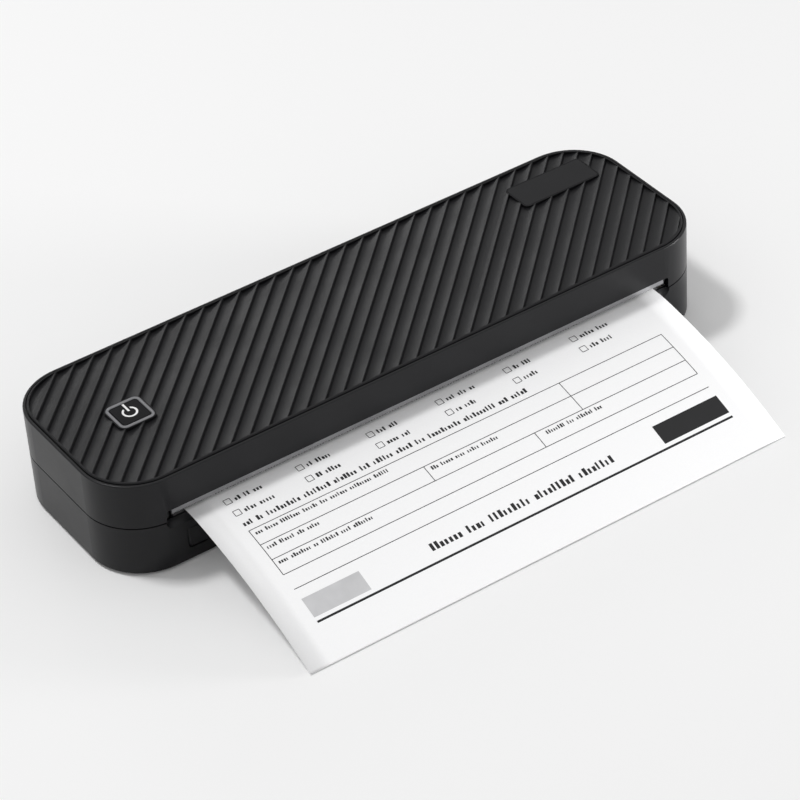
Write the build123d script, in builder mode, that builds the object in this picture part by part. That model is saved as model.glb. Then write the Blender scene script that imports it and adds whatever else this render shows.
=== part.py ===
"""A4 portable thermal printer: a long rounded base with a hinged lid.

Frame: +X to the right along the length, -Y to the front (the side the paper leaves),
+Z up. The origin is at the middle of the underside, on the surface that the feet rest on.
All sizes are in millimetres.
"""

import math
import os

from build123d import *

os.makedirs("parts", exist_ok=True)

# how far a cutting shape reaches past the face that it cuts
cut_over = 1.0

# --- Case: overall form -------------------------------------------------------------
length = 265.0
depth = 80.5
height = 41.5
corner_radius = 22.2
wall = 2.2
floor = 2.0
foot_proud = 0.6
seam_height = 21.8
seam_gap = 0.5
bottom_bevel = 0.8

# --- Lid top: rim, inset panel and its ribs -----------------------------------------
rim_width = 1.1
rim_round = 0.5
rim_drop = 0.5
panel_gap = 0.45
panel_thickness = 1.9
panel_edge_bevel = 0.35
roof = 1.6
rib_pitch_x = 8.0
rib_phase_x = 3.8
rib_depth = 1.2
rib_drop_width = 0.5
rib_land = 0.15
rib_bow = 0.3
rib_margin = 0.9

# --- Power key, its bezel and the bare pad ------------------------------------------
key_x = -101.3
key_y = 0.0
bezel_size = 14.4
bezel_band = 1.2
bezel_round = 2.6
bezel_proud = 0.35
bezel_bevel = 0.3
bezel_land = 0.5
key_gap = 0.15
key_proud = 0.1
key_cap = 1.2
key_bevel = 0.2
key_stem_drop = 0.4
key_stem_radius = 2.2
key_travel = 0.5
key_symbol_radius = 3.0
key_symbol_line = 0.8
key_symbol_depth = 0.4
board_thickness = 1.0
key_board_size = 17.0
key_post = 1.0
key_post_width = 2.4
switch_radius = 1.6
switch_gap = 0.05
switch_seat = 0.5
key_plug_length = 3.0
key_plug_width = 5.0
key_plug_height = 1.6
key_plug_from = 4.0
pad_x = 103.5
pad_y = 21.55
pad_length = 35.0
pad_width = 14.1
pad_round = 1.6
pad_proud = 0.1
pad_thickness = 1.3
pad_bevel = 0.2
pad_land = 0.4
seat_gap = 0.1

# --- Slot, tear bar and the cove under the slot -------------------------------------
slot_top = 26.7
notch_width = 2.2
tear_half = 110.0
tear_tip = 24.15
tear_sheet = 0.8
tear_inset = 0.25
tear_leg_top = 33.0
tear_end_gap = 0.1
tear_seat_gap = 0.05
tooth_pitch = 3.0
tooth_depth = 0.55
cove_radius = 3.8
cove_out = 2.2
cove_half = 109.6

# --- Paper --------------------------------------------------------------------------
paper_width = 210.0
paper_x = 1.0
paper_thickness = 0.3
web_height = 22.9
paper_gap = 0.3
lip_out = 0.5
lip_radius = 40.0
lip_angle = 8.0
droop_radius = 231.0
droop_angle = 18.5

# --- Roll and its bin ---------------------------------------------------------------
bin_y = 17.5
bin_radius = 16.0
bin_sheet = 1.0
bin_floor_gap = 0.2
core_radius = 6.0
core_wall = 1.0

# --- Side frames and guides ---------------------------------------------------------
frame_inner = 108.5
frame_sheet = 1.2
frame_front = 35.2
frame_rear = 34.8
frame_drop = 0.35
frame_foot = 7.0
guide_sheet = 1.2
guide_rib = 0.4
guide_drop = 0.55
guide_gap = 0.7
guide_rib_count = 12
guide_rib_pitch = 18.0
guide_rib_half = 0.6
guide_rib_end = 1.0
guide_lip = 4.0
lip_depth = 4.5
lip_round = 0.6
sensor_x = 30.0
sensor_half_length = 3.0
sensor_half_width = 2.0
sensor_flange = 1.4
sensor_drop = 2.5
sensor_gap = 0.2

# --- Platen and its drive -----------------------------------------------------------
platen_y = -29.5
platen_radius = 5.0
platen_gap = 0.25
platen_half = 106.5
shaft_radius = 2.5
bush_radius = 3.6
bush_flange = 4.6
bush_flange_sheet = 0.8
shaft_out = 3.0
end_chamfer = 0.4
run_gap = 0.05
gear_face = 3.5
gear_start = 111.0
gear_plane_gap = 0.5
platen_teeth = 20
small_teeth = 14
fine_module = 0.6
big_teeth = 28
pinion_teeth = 10
pinion_module = 0.5
backlash = 0.16
# radii at which a tooth's flank is drawn, in modules from the pitch circle
tooth_stations = (-1.2, -0.35, 0.0, 0.9)
pressure_angle = 20.0
idler_height = 11.5
idler_axle_radius = 1.5
axle_head_radius = 2.4
axle_end_gap = 0.3
axle_head = 0.6
motor_radius = 8.5
motor_length = 22.0
motor_flange = 1.0
motor_bevel = 0.8
motor_plug_length = 4.0
motor_plug_height = 1.5
motor_ear = 6.5
motor_ear_width = 4.6
motor_shaft_radius = 1.0

# --- Print head ---------------------------------------------------------------------
head_half = 106.5
head_gap = 0.15
bead_height = 0.25
substrate_thickness = 1.0
substrate_width = 11.0
sink_front = 6.3
sink_rear = 6.7
sink_height = 3.5
head_travel = 0.6
head_pin_radius = 1.0
pin_out = 0.2
head_side_gap = 0.3
head_clearance = 0.5
bracket_sheet = 1.2
ear_sheet = 1.6
bracket_flange = 0.8
bracket_flange_low = 27.4
bracket_boss = 1.5
bracket_corner = 3.0
ear_start = 116.6
ear_width = 5.0
ear_low = 22.9
spring_radius = 2.6
spring_wire = 0.6
spring_turns = 4
spring_xs = (-92.0, -42.0, 42.0, 92.0)
coil_sides = 8
coil_lift = 0.01
fin_count = 4
fin_gap = 1.2
fin_depth = 1.4
bead_half = 0.9
bead_end = 1.5

# --- Latch --------------------------------------------------------------------------
button_x = -95.0
button_length = 20.0
button_low = 6.05
button_high = 15.4
button_round = 1.8
button_gap = 0.35
button_flange = 1.0
button_bevel = 0.35
button_lip = 0.8
button_stem_half = 3.0
button_travel = 1.6
latch_bar_y = -32.5
latch_bar_width = 2.0
latch_bar_low = 3.6
latch_bar_high = 7.6
hook_start = 118.8
hook_sheet = 2.4
hook_gap = 0.35
hook_nose = 1.05
hook_stem = 1.7
hook_head = 3.4
hook_crown = 0.2
hook_lead = 1.9
hook_under = 1.3
hook_root_front = 3.5
hook_root_rear = 2.5
latch_pin_y = -32.0
latch_pin_z = 24.0
latch_pin_radius = 1.0
latch_spring_x = 60.0
latch_spring_length = 5.0
latch_spring_radius = 1.5
latch_post_half = 3.0
latch_post_sheet = 1.6
gate_gap = 0.8

# --- Hinge --------------------------------------------------------------------------
barrel_radius = 2.25
hinge_inset = 2.3
knuckle_length = 10.0
hinge_x = 87.0
knuckle_gap = 0.3
barrel_gap = 0.4
hinge_pin_radius = 0.9
hinge_rib = 1.4
hinge_rib_height = 8.0

# --- Electronics --------------------------------------------------------------------
pcb = 1.6
standoff = 2.0
main_board_left = -127.0
main_board_right = -10.0
main_board_front = -23.0
main_board_rear = -2.5
battery_left = -4.0
battery_right = 78.0
battery_front = -22.5
battery_rear = -2.5
battery_height = 14.5
# parts on the main board: middle in X and Y, length, width and height
board_parts = (
    (-60.0, -12.5, 12.0, 12.0, 1.2),
    (-38.0, -12.5, 14.0, 12.0, 2.4),
    (-82.0, -9.0, 8.0, 8.0, 3.5),
    (-82.0, -17.5, 6.0, 5.0, 1.6),
    (-96.0, -12.5, 10.0, 8.0, 2.0),
    (-22.0, -9.0, 8.0, 6.0, 5.0),
    (-22.0, -17.0, 8.0, 6.0, 5.0),
)
board_screw_inset = 3.0
board_screw_beside_frame = 5.0
board_gap = 0.6
board_headroom = 3.2
battery_round = 4.0
usb_y = 10.0
usb_height = 9.5
usb_width = 9.0
usb_thick = 3.3
usb_depth = 7.4
usb_gap = 0.3
usb_shell = 0.3
usb_back = 1.0
usb_proud = 0.6
usb_board_length = 12.0
usb_board_half = 11.0
usb_board_gap = 0.4
usb_leg_y = 8.5
usb_leg_half = 2.0
usb_leg_from = 4.0
usb_plug_half = 5.0
usb_plug_length = 2.6
usb_plug_height = 4.0
usb_tongue_half = 3.3
usb_tongue = 0.7
usb_tongue_in = 0.8
cable_width = 10.0
cable_x = -121.0
cable_thickness = 0.3
cable_rise_y = 25.0
cable_bend = 4.0
cable_above_board = 1.0
cable_under_roof = 1.2
cable_end_gap = 7.0
plug_border = 1.0
plug_length = 4.0
plug_height = 2.2
plug_inset = 1.5

# --- Feet and screws ----------------------------------------------------------------
foot_radius = 5.0
foot_x = 108.0
foot_y = 24.0
foot_seat = 0.8
screw_radius = 1.0
screw_head_radius = 1.9
screw_head_height = 1.1
recess_length = 2.4
recess_width = 0.5
boss_radius = 2.6
standoff_radius = 2.2
bracket_boss_radius = 3.2

# --- Values worked out from the above -----------------------------------------------
front_y = -depth / 2
rear_y = depth / 2
end_x = length / 2
base_top = seam_height - seam_gap / 2
lid_low = seam_height + seam_gap / 2
floor_top = foot_proud + floor
inner_length = length - 2 * wall
inner_depth = depth - 2 * wall
inner_radius = corner_radius - wall
rim_top = height - rim_drop
panel_low = height - panel_thickness
roof_low = panel_low - roof
panel_inset = rim_width + panel_gap
hinge_y = rear_y - hinge_inset
paper_left = paper_x - paper_width / 2
paper_right = paper_x + paper_width / 2
web_low = web_height - paper_thickness / 2
web_top = web_height + paper_thickness / 2
platen_z = web_low - platen_gap - platen_radius
frame_outer = frame_inner + frame_sheet
frame_top = base_top - frame_drop
guide_top = web_low - guide_drop
bin_z = floor_top + bin_floor_gap + bin_sheet + bin_radius
roll_radius = (web_low - paper_gap - (bin_z - bin_radius + paper_gap)) / 2
roll_z = web_low - paper_gap - roll_radius
small_pitch_radius = fine_module * small_teeth / 2
platen_pitch_radius = fine_module * platen_teeth / 2
big_pitch_radius = pinion_module * big_teeth / 2
pinion_pitch_radius = pinion_module * pinion_teeth / 2
idler_reach = small_pitch_radius + platen_pitch_radius
idler_y = platen_y + math.sqrt(idler_reach**2 - (platen_z - idler_height) ** 2)
motor_y = idler_y + big_pitch_radius + pinion_pitch_radius
big_start = gear_start + gear_face + gear_plane_gap
big_end = big_start + gear_face - axle_end_gap
bead_low = web_top + head_gap
substrate_low = bead_low + bead_height
sink_low = substrate_low + substrate_thickness
sink_top = sink_low + sink_height
bracket_top = roof_low - bracket_boss
bracket_low = bracket_top - bracket_sheet
ear_end = ear_start + ear_sheet
head_pin_y = latch_pin_y + 1.0
head_pin_z = sink_low + 0.6 * sink_height
bezel_top = height + bezel_proud
bezel_hole = bezel_size - 2 * bezel_band
key_size = bezel_hole - 2 * key_gap
key_top = bezel_top - key_proud
board_top = floor_top + standoff + pcb
cable_front = main_board_rear - plug_inset
cable_end_y = platen_y + sink_rear + cable_end_gap


def box_between(x_span, y_span, z_span, mode=Mode.ADD):
    """Add or cut a box given by its spans along X, Y and Z, inside the open part."""
    middle = ((x_span[0] + x_span[1]) / 2, (y_span[0] + y_span[1]) / 2, (z_span[0] + z_span[1]) / 2)
    with Locations(middle):
        Box(x_span[1] - x_span[0], y_span[1] - y_span[0], z_span[1] - z_span[0], mode=mode)


def rod_along_x(start, end, y, z, radius, mode=Mode.ADD):
    """Add or cut a round rod along X, inside the open part."""
    with BuildSketch(Plane.YZ.offset(start)) as disc:
        with Locations((y, z)):
            Circle(radius)
    extrude(disc.sketch, amount=end - start, mode=mode)


def mirrored(spans):
    """Each span along X, and its mirror image on the other side."""
    return list(spans) + [(-high, -low) for low, high in spans]


def tooth_half_angle(teeth, module, radius):
    """Half the angle that an involute tooth spans at a radius, thinned for backlash."""
    pressure = math.radians(pressure_angle)
    pitch_radius = module * teeth / 2
    base_radius = pitch_radius * math.cos(pressure)
    at_radius = math.acos(min(1.0, base_radius / max(radius, base_radius)))
    rolled = (math.tan(pressure) - pressure) - (math.tan(at_radius) - at_radius)
    return math.pi / (2 * teeth) - backlash / (2 * pitch_radius) + rolled


def gear_outline(teeth, module, centre, first_tooth):
    """Corners of a spur gear: root, pitch and tip points on each flank of each tooth."""
    pitch_radius = module * teeth / 2
    radii = [pitch_radius + share * module for share in tooth_stations]
    corners = []
    for tooth in range(teeth):
        middle = first_tooth + 2 * math.pi * tooth / teeth
        rising = [(r, middle - tooth_half_angle(teeth, module, r)) for r in radii]
        falling = [(r, middle + tooth_half_angle(teeth, module, r)) for r in reversed(radii)]
        corners += [
            (centre[0] + r * math.cos(a), centre[1] + r * math.sin(a)) for r, a in rising + falling
        ]
    return corners


def gear_disc(teeth, module, centre, first_tooth, start, face):
    """Add a spur gear disc that starts at x = start, inside the open part."""
    with BuildSketch(Plane.YZ.offset(start)) as wheel:
        with BuildLine():
            Polyline(*gear_outline(teeth, module, centre, first_tooth), close=True)
        make_face()
    extrude(wheel.sketch, amount=face)


def screw(seat, shank):
    """Add a pan-head screw; the seat plane lies under its head and faces the head."""
    with BuildSketch(seat) as head:
        Circle(screw_head_radius)
    extrude(head.sketch, amount=screw_head_height)
    with BuildSketch(seat) as stem:
        Circle(screw_radius)
    extrude(stem.sketch, amount=-shank)
    with BuildSketch(seat.offset(screw_head_height)) as cross:
        Rectangle(recess_length, recess_width)
        Rectangle(recess_width, recess_length)
    extrude(cross.sketch, amount=-recess_width, mode=Mode.SUBTRACT)


def coil(base, radius, rise, turns):
    """Add a coil of square wire round the axis of the plane base, inside the open part."""
    steps = coil_sides * turns
    corners = []
    for step in range(steps + 1):
        angle = 2 * math.pi * step / coil_sides
        corners.append(
            base.from_local_coords((radius * math.cos(angle), radius * math.sin(angle), rise * step / steps))
        )
    with BuildLine() as middle_line:
        Polyline(*corners)
    with BuildSketch(
        Plane(origin=corners[0], x_dir=corners[0] - base.origin, z_dir=corners[1] - corners[0])
    ) as section:
        Rectangle(spring_wire, spring_wire)
    sweep(section.sketch, path=middle_line.line, transition=Transition.RIGHT)


# --- Knuckle spans of the two hinges -------------------------------------------------
lid_knuckles = mirrored([(hinge_x - knuckle_length / 2, hinge_x + knuckle_length / 2)])
base_knuckles = mirrored(
    [
        (hinge_x - 1.5 * knuckle_length - knuckle_gap, hinge_x - knuckle_length / 2 - knuckle_gap),
        (hinge_x + knuckle_length / 2 + knuckle_gap, hinge_x + 1.5 * knuckle_length + knuckle_gap),
    ]
)

# --- Screw places ---------------------------------------------------------------------
frame_screw_x = frame_outer + frame_foot / 2
frame_screw_ys = (6.0, 26.0)
frame_boss_height = 3.0
frame_foot_end = 4.0
frame_foot_low = floor_top + frame_boss_height
frame_screws_at = [(side * frame_screw_x, y) for side in (-1, 1) for y in frame_screw_ys]
board_screws_at = [
    (main_board_left + board_screw_inset, main_board_front + board_screw_inset),
    (-frame_outer + board_screw_beside_frame, main_board_rear - board_screw_inset),
    (main_board_right - board_screw_inset, main_board_front + board_screw_inset),
    (main_board_right - board_screw_inset, main_board_rear - board_screw_inset),
]
bracket_screw_xs = (-84.0, 0.0, 84.0)
bracket_screws_at = [(x, platen_y) for x in bracket_screw_xs]
tear_screw_xs = (-90.0, 0.0, 90.0)
tear_screw_drop = 2.6
tear_screw_z = tear_leg_top - tear_screw_drop
tear_screw_bite = 1.5
motor_screws_at = [
    (motor_y - motor_ear, idler_height + motor_ear),
    (motor_y + motor_ear, idler_height - motor_ear),
]

# === Case ============================================================================

# Lower shell: a rounded tray with the hinge rib, the cove under the slot, the button
# window, the bosses and the pockets for the feet.
with BuildPart() as lower_shell:
    with BuildSketch(Plane.XY.offset(foot_proud)):
        RectangleRounded(length, depth, corner_radius)
    extrude(amount=base_top - foot_proud)
    chamfer(lower_shell.faces().sort_by(Axis.Z)[0].edges(), length=bottom_bevel)
    with BuildSketch(Plane.XY.offset(floor_top)):
        RectangleRounded(inner_length, inner_depth, inner_radius)
    extrude(amount=base_top - floor_top, mode=Mode.SUBTRACT)
    # rib that thickens the rear wall under the hinge
    with BuildSketch(Plane.XY.offset(base_top - hinge_rib_height)):
        RectangleRounded(inner_length, inner_depth, inner_radius)
        with Locations((0, rear_y - wall)):
            Rectangle(length, 2 * hinge_rib, mode=Mode.INTERSECT)
    extrude(amount=hinge_rib_height)
    # bevel along the rear edge, which leaves room for the lid's rear wall as it turns
    with BuildSketch(Plane.YZ.offset(-end_x)):
        with BuildLine():
            Polyline(
                (hinge_y, base_top),
                (rear_y + cut_over, base_top - hinge_inset - cut_over),
                (rear_y + cut_over, base_top + cut_over),
                (hinge_y, base_top + cut_over),
                close=True,
            )
        make_face()
    extrude(amount=length, mode=Mode.SUBTRACT)
    for low, high in base_knuckles:
        rod_along_x(low, high, hinge_y, seam_height, barrel_radius)
    for low, high in lid_knuckles:
        rod_along_x(
            low - knuckle_gap, high + knuckle_gap, hinge_y, seam_height, barrel_radius + barrel_gap,
            Mode.SUBTRACT,
        )
    for low, high in base_knuckles:
        rod_along_x(low, high, hinge_y, seam_height, hinge_pin_radius, Mode.SUBTRACT)
    # cove under the paper slot, with round ends
    rod_along_x(-cove_half, cove_half, front_y - cove_out, base_top, cove_radius, Mode.SUBTRACT)
    with Locations((-cove_half, front_y - cove_out, base_top), (cove_half, front_y - cove_out, base_top)):
        Sphere(cove_radius, mode=Mode.SUBTRACT)
    # window for the release button
    with BuildSketch(Plane.XZ.offset(depth / 2 + cut_over)):
        with Locations((button_x, (button_low + button_high) / 2)):
            RectangleRounded(button_length, button_high - button_low, button_round)
    extrude(amount=-(wall + 2 * cut_over), mode=Mode.SUBTRACT)
    # window for the charging socket in the right end
    with BuildSketch(Plane.YZ.offset(end_x + cut_over)):
        with Locations((usb_y, usb_height)):
            SlotOverall(usb_width + 2 * usb_gap, usb_thick + 2 * usb_gap)
    extrude(amount=-(wall + 2 * cut_over), mode=Mode.SUBTRACT)
    # bosses for the frames and the boards
    for x, y in frame_screws_at:
        with BuildSketch(Plane.XY.offset(floor_top)):
            with Locations((x, y)):
                Circle(boss_radius)
        extrude(amount=frame_boss_height)
        with BuildSketch(Plane.XY.offset(floor_top)):
            with Locations((x, y)):
                Circle(screw_radius)
        extrude(amount=frame_boss_height, mode=Mode.SUBTRACT)
    for x, y in board_screws_at:
        with BuildSketch(Plane.XY.offset(floor_top)):
            with Locations((x, y)):
                Circle(standoff_radius)
                Circle(screw_radius, mode=Mode.SUBTRACT)
        extrude(amount=standoff)
    # posts that the latch springs push against
    for x in (-latch_spring_x, latch_spring_x):
        post_y = latch_bar_y + latch_bar_width / 2 + latch_spring_length
        box_between(
            (x - latch_post_half, x + latch_post_half),
            (post_y, post_y + latch_post_sheet),
            (floor_top, latch_bar_high),
        )
    # pockets for the feet
    for x in (-foot_x, foot_x):
        for y in (-foot_y, foot_y):
            with BuildSketch(Plane.XY.offset(foot_proud)):
                with Locations((x, y)):
                    Circle(foot_radius)
            extrude(amount=foot_seat, mode=Mode.SUBTRACT)
lower_shell.part.label = "lower_shell"
export_step(lower_shell.part, "parts/lower_shell.step")

# Upper shell: the lid's wall and roof, with a rim round the recess for the panel.
with BuildPart() as upper_shell:
    with BuildSketch(Plane.XY.offset(lid_low)):
        RectangleRounded(length, depth, corner_radius)
    extrude(amount=rim_top - lid_low)
    fillet(upper_shell.faces().sort_by(Axis.Z)[-1].edges(), radius=rim_round)
    with BuildSketch(Plane.XY.offset(panel_low)):
        RectangleRounded(length - 2 * rim_width, depth - 2 * rim_width, corner_radius - rim_width)
    extrude(amount=rim_top - panel_low, mode=Mode.SUBTRACT)
    with BuildSketch(Plane.XY.offset(lid_low)):
        RectangleRounded(inner_length, inner_depth, inner_radius)
    extrude(amount=roof_low - lid_low, mode=Mode.SUBTRACT)
    with BuildSketch(Plane.XY.offset(lid_low)):
        RectangleRounded(inner_length, inner_depth, inner_radius)
        with Locations((0, rear_y - wall)):
            Rectangle(length, 2 * hinge_rib, mode=Mode.INTERSECT)
    extrude(amount=hinge_rib_height)
    with BuildSketch(Plane.YZ.offset(-end_x)):
        with BuildLine():
            Polyline(
                (hinge_y, lid_low),
                (rear_y + cut_over, lid_low + hinge_inset + cut_over),
                (rear_y + cut_over, lid_low - cut_over),
                (hinge_y, lid_low - cut_over),
                close=True,
            )
        make_face()
    extrude(amount=length, mode=Mode.SUBTRACT)
    for low, high in lid_knuckles:
        rod_along_x(low, high, hinge_y, seam_height, barrel_radius)
    for low, high in base_knuckles:
        rod_along_x(
            low - knuckle_gap, high + knuckle_gap, hinge_y, seam_height, barrel_radius + barrel_gap,
            Mode.SUBTRACT,
        )
    for low, high in lid_knuckles:
        rod_along_x(low, high, hinge_y, seam_height, hinge_pin_radius + run_gap, Mode.SUBTRACT)
    # mouth of the slot, filled by the tear bar, and the open notch at each of its ends
    box_between(
        (-tear_half, tear_half), (front_y - cut_over, front_y + wall), (lid_low, slot_top), Mode.SUBTRACT
    )
    for side in (-1, 1):
        notch_x = side * (tear_half + notch_width / 2)
        box_between(
            (notch_x - notch_width / 2, notch_x + notch_width / 2),
            (front_y - cut_over, front_y + wall),
            (lid_low, slot_top - notch_width / 2),
            Mode.SUBTRACT,
        )
        with BuildSketch(Plane.XZ.offset(depth / 2 + cut_over)):
            with Locations((notch_x, slot_top - notch_width / 2)):
                Circle(notch_width / 2)
        extrude(amount=-(wall + cut_over), mode=Mode.SUBTRACT)
    # blind holes for the tear bar's screws
    for x in tear_screw_xs:
        with BuildSketch(Plane.XZ.offset(depth / 2 - wall)):
            with Locations((x, tear_screw_z)):
                Circle(screw_radius)
        extrude(amount=tear_screw_bite, mode=Mode.SUBTRACT)
    # hole for the key's stem, bosses for the head bracket, and posts for the key's board
    with BuildSketch(Plane.XY.offset(roof_low)):
        with Locations((key_x, key_y)):
            Circle(key_stem_radius + 2 * key_gap)
    extrude(amount=roof, mode=Mode.SUBTRACT)
    for x, y in bracket_screws_at:
        with BuildSketch(Plane.XY.offset(bracket_top)):
            with Locations((x, y)):
                Circle(bracket_boss_radius)
        extrude(amount=bracket_boss)
        with BuildSketch(Plane.XY.offset(bracket_top)):
            with Locations((x, y)):
                Circle(screw_radius)
        extrude(amount=bracket_boss, mode=Mode.SUBTRACT)
    for x in (-1, 1):
        for y in (-1, 1):
            post_x = key_x + x * (key_board_size / 2 - key_post_width)
            post_y = key_y + y * (key_board_size / 2 - key_post_width)
            box_between(
                (post_x - key_post_width / 2, post_x + key_post_width / 2),
                (post_y - key_post_width / 2, post_y + key_post_width / 2),
                (roof_low - key_post, roof_low),
            )
upper_shell.part.label = "upper_shell"
export_step(upper_shell.part, "parts/upper_shell.step")

# Top panel: a plate whose face is cut by slanting grooves. Each groove drops at its
# left wall and climbs back in a hollow sweep to the next crest.
with BuildPart() as rib_cutter:
    slant = Plane(origin=(0, 0, height), x_dir=(1, -1, 0), z_dir=(-1, -1, 0))
    pitch = rib_pitch_x / math.sqrt(2)
    phase = rib_phase_x / math.sqrt(2)
    reach = (length + depth) / 2
    count = int(reach / pitch) + 1
    for rib in range(-count, count + 1):
        start = phase + rib * pitch
        end = start + pitch - rib_land
        middle = (start + rib_drop_width + end) / 2
        with BuildSketch(slant.offset(-reach)):
            with BuildLine():
                Line((start, cut_over), (start, 0.0))
                Line((start, 0.0), (start + rib_drop_width, -rib_depth))
                ThreePointArc(
                    (start + rib_drop_width, -rib_depth), (middle, -rib_depth / 2 - rib_bow), (end, 0.0)
                )
                Line((end, 0.0), (end, cut_over))
                Line((end, cut_over), (start, cut_over))
            make_face()
        extrude(amount=2 * reach)
    with BuildSketch(Plane.XY.offset(height - rib_depth - cut_over)):
        inset = panel_inset + rib_margin
        RectangleRounded(length - 2 * inset, depth - 2 * inset, corner_radius - inset)
        land = bezel_size + 2 * bezel_land
        with Locations((key_x, key_y)):
            RectangleRounded(land, land, bezel_round + bezel_land, mode=Mode.SUBTRACT)
        with Locations((pad_x, pad_y)):
            RectangleRounded(
                pad_length + 2 * pad_land, pad_width + 2 * pad_land, pad_round + pad_land, mode=Mode.SUBTRACT
            )
    extrude(amount=rib_depth + 3 * cut_over, mode=Mode.INTERSECT)

with BuildPart() as top_panel:
    with BuildSketch(Plane.XY.offset(panel_low)):
        RectangleRounded(length - 2 * panel_inset, depth - 2 * panel_inset, corner_radius - panel_inset)
    extrude(amount=panel_thickness)
    chamfer(top_panel.faces().sort_by(Axis.Z)[-1].edges(), length=panel_edge_bevel)
    with BuildSketch(Plane.XY.offset(panel_low)):
        with Locations((key_x, key_y)):
            RectangleRounded(bezel_size + 2 * seat_gap, bezel_size + 2 * seat_gap, bezel_round)
    extrude(amount=panel_thickness, mode=Mode.SUBTRACT)
    with BuildSketch(Plane.XY.offset(height + pad_proud - pad_thickness)):
        with Locations((pad_x, pad_y)):
            RectangleRounded(pad_length + 2 * seat_gap, pad_width + 2 * seat_gap, pad_round)
    extrude(amount=pad_thickness, mode=Mode.SUBTRACT)
    add(rib_cutter.part, mode=Mode.SUBTRACT)
top_panel.part.label = "top_panel"
export_step(top_panel.part, "parts/top_panel.step")

# Bare raised pad, set in the panel.
with BuildPart() as name_pad:
    with BuildSketch(Plane.XY.offset(height + pad_proud - pad_thickness)):
        with Locations((pad_x, pad_y)):
            RectangleRounded(pad_length, pad_width, pad_round)
    extrude(amount=pad_thickness)
    chamfer(name_pad.faces().sort_by(Axis.Z)[-1].edges(), length=pad_bevel)
name_pad.part.label = "name_pad"
export_step(name_pad.part, "parts/name_pad.step")

# Key bezel: a square ring with round corners.
with BuildPart() as key_bezel:
    with BuildSketch(Plane.XY.offset(panel_low)):
        with Locations((key_x, key_y)):
            RectangleRounded(bezel_size, bezel_size, bezel_round)
            RectangleRounded(bezel_hole, bezel_hole, bezel_round - bezel_band, mode=Mode.SUBTRACT)
    extrude(amount=bezel_top - panel_low)
    chamfer(key_bezel.faces().sort_by(Axis.Z)[-1].edges(), length=bezel_bevel)
key_bezel.part.label = "key_bezel"
export_step(key_bezel.part, "parts/key_bezel.step")

# Power key: a square cap on a round stem, with a groove for the light symbol.
with BuildPart() as power_key:
    with BuildSketch(Plane.XY.offset(key_top - key_cap)):
        with Locations((key_x, key_y)):
            RectangleRounded(key_size, key_size, bezel_round - bezel_band - key_gap)
    extrude(amount=key_cap)
    chamfer(power_key.faces().sort_by(Axis.Z)[-1].edges(), length=key_bevel)
    with BuildSketch(Plane.XY.offset(roof_low - key_stem_drop)):
        with Locations((key_x, key_y)):
            Circle(key_stem_radius)
    extrude(amount=key_top - key_cap - roof_low + key_stem_drop)
    with BuildSketch(Plane.XY.offset(key_top - key_symbol_depth)) as symbol:
        with Locations((key_x, key_y)):
            Circle(key_symbol_radius)
            Circle(key_symbol_radius - key_symbol_line, mode=Mode.SUBTRACT)
        with Locations((key_x, key_y + key_symbol_radius)):
            Rectangle(3.2 * key_symbol_line, 3.2 * key_symbol_line, mode=Mode.SUBTRACT)
            Rectangle(key_symbol_line, 1.6 * key_symbol_radius)
    extrude(amount=key_symbol_depth, mode=Mode.SUBTRACT)
power_key.part.label = "power_key"
export_step(power_key.part, "parts/power_key.step")

# Light symbol: a broken ring with a bar, flush in the key.
with BuildPart() as key_symbol:
    add(symbol.sketch)
    extrude(amount=key_symbol_depth)
key_symbol.part.label = "key_symbol"
export_step(key_symbol.part, "parts/key_symbol.step")

# Key board: a small board under the roof, with the switch below the stem.
with BuildPart() as key_board:
    board_low = roof_low - key_post - board_thickness
    box_between(
        (key_x - key_board_size / 2, key_x + key_board_size / 2),
        (key_y - key_board_size / 2, key_y + key_board_size / 2),
        (board_low, board_low + board_thickness),
    )
    switch_top = roof_low - key_stem_drop - key_travel - switch_gap
    switch_low = board_low + board_thickness - switch_seat
    with BuildSketch(Plane.XY.offset(switch_low)):
        with Locations((key_x, key_y)):
            Circle(switch_radius)
    extrude(amount=switch_top - switch_low)
    box_between(
        (key_x - key_plug_from - key_plug_length, key_x - key_plug_from),
        (key_y - key_plug_width / 2, key_y + key_plug_width / 2),
        (board_low - key_plug_height, board_low),
    )
key_board.part.label = "key_board"
export_step(key_board.part, "parts/key_board.step")

# === Slot and paper ==================================================================

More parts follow.
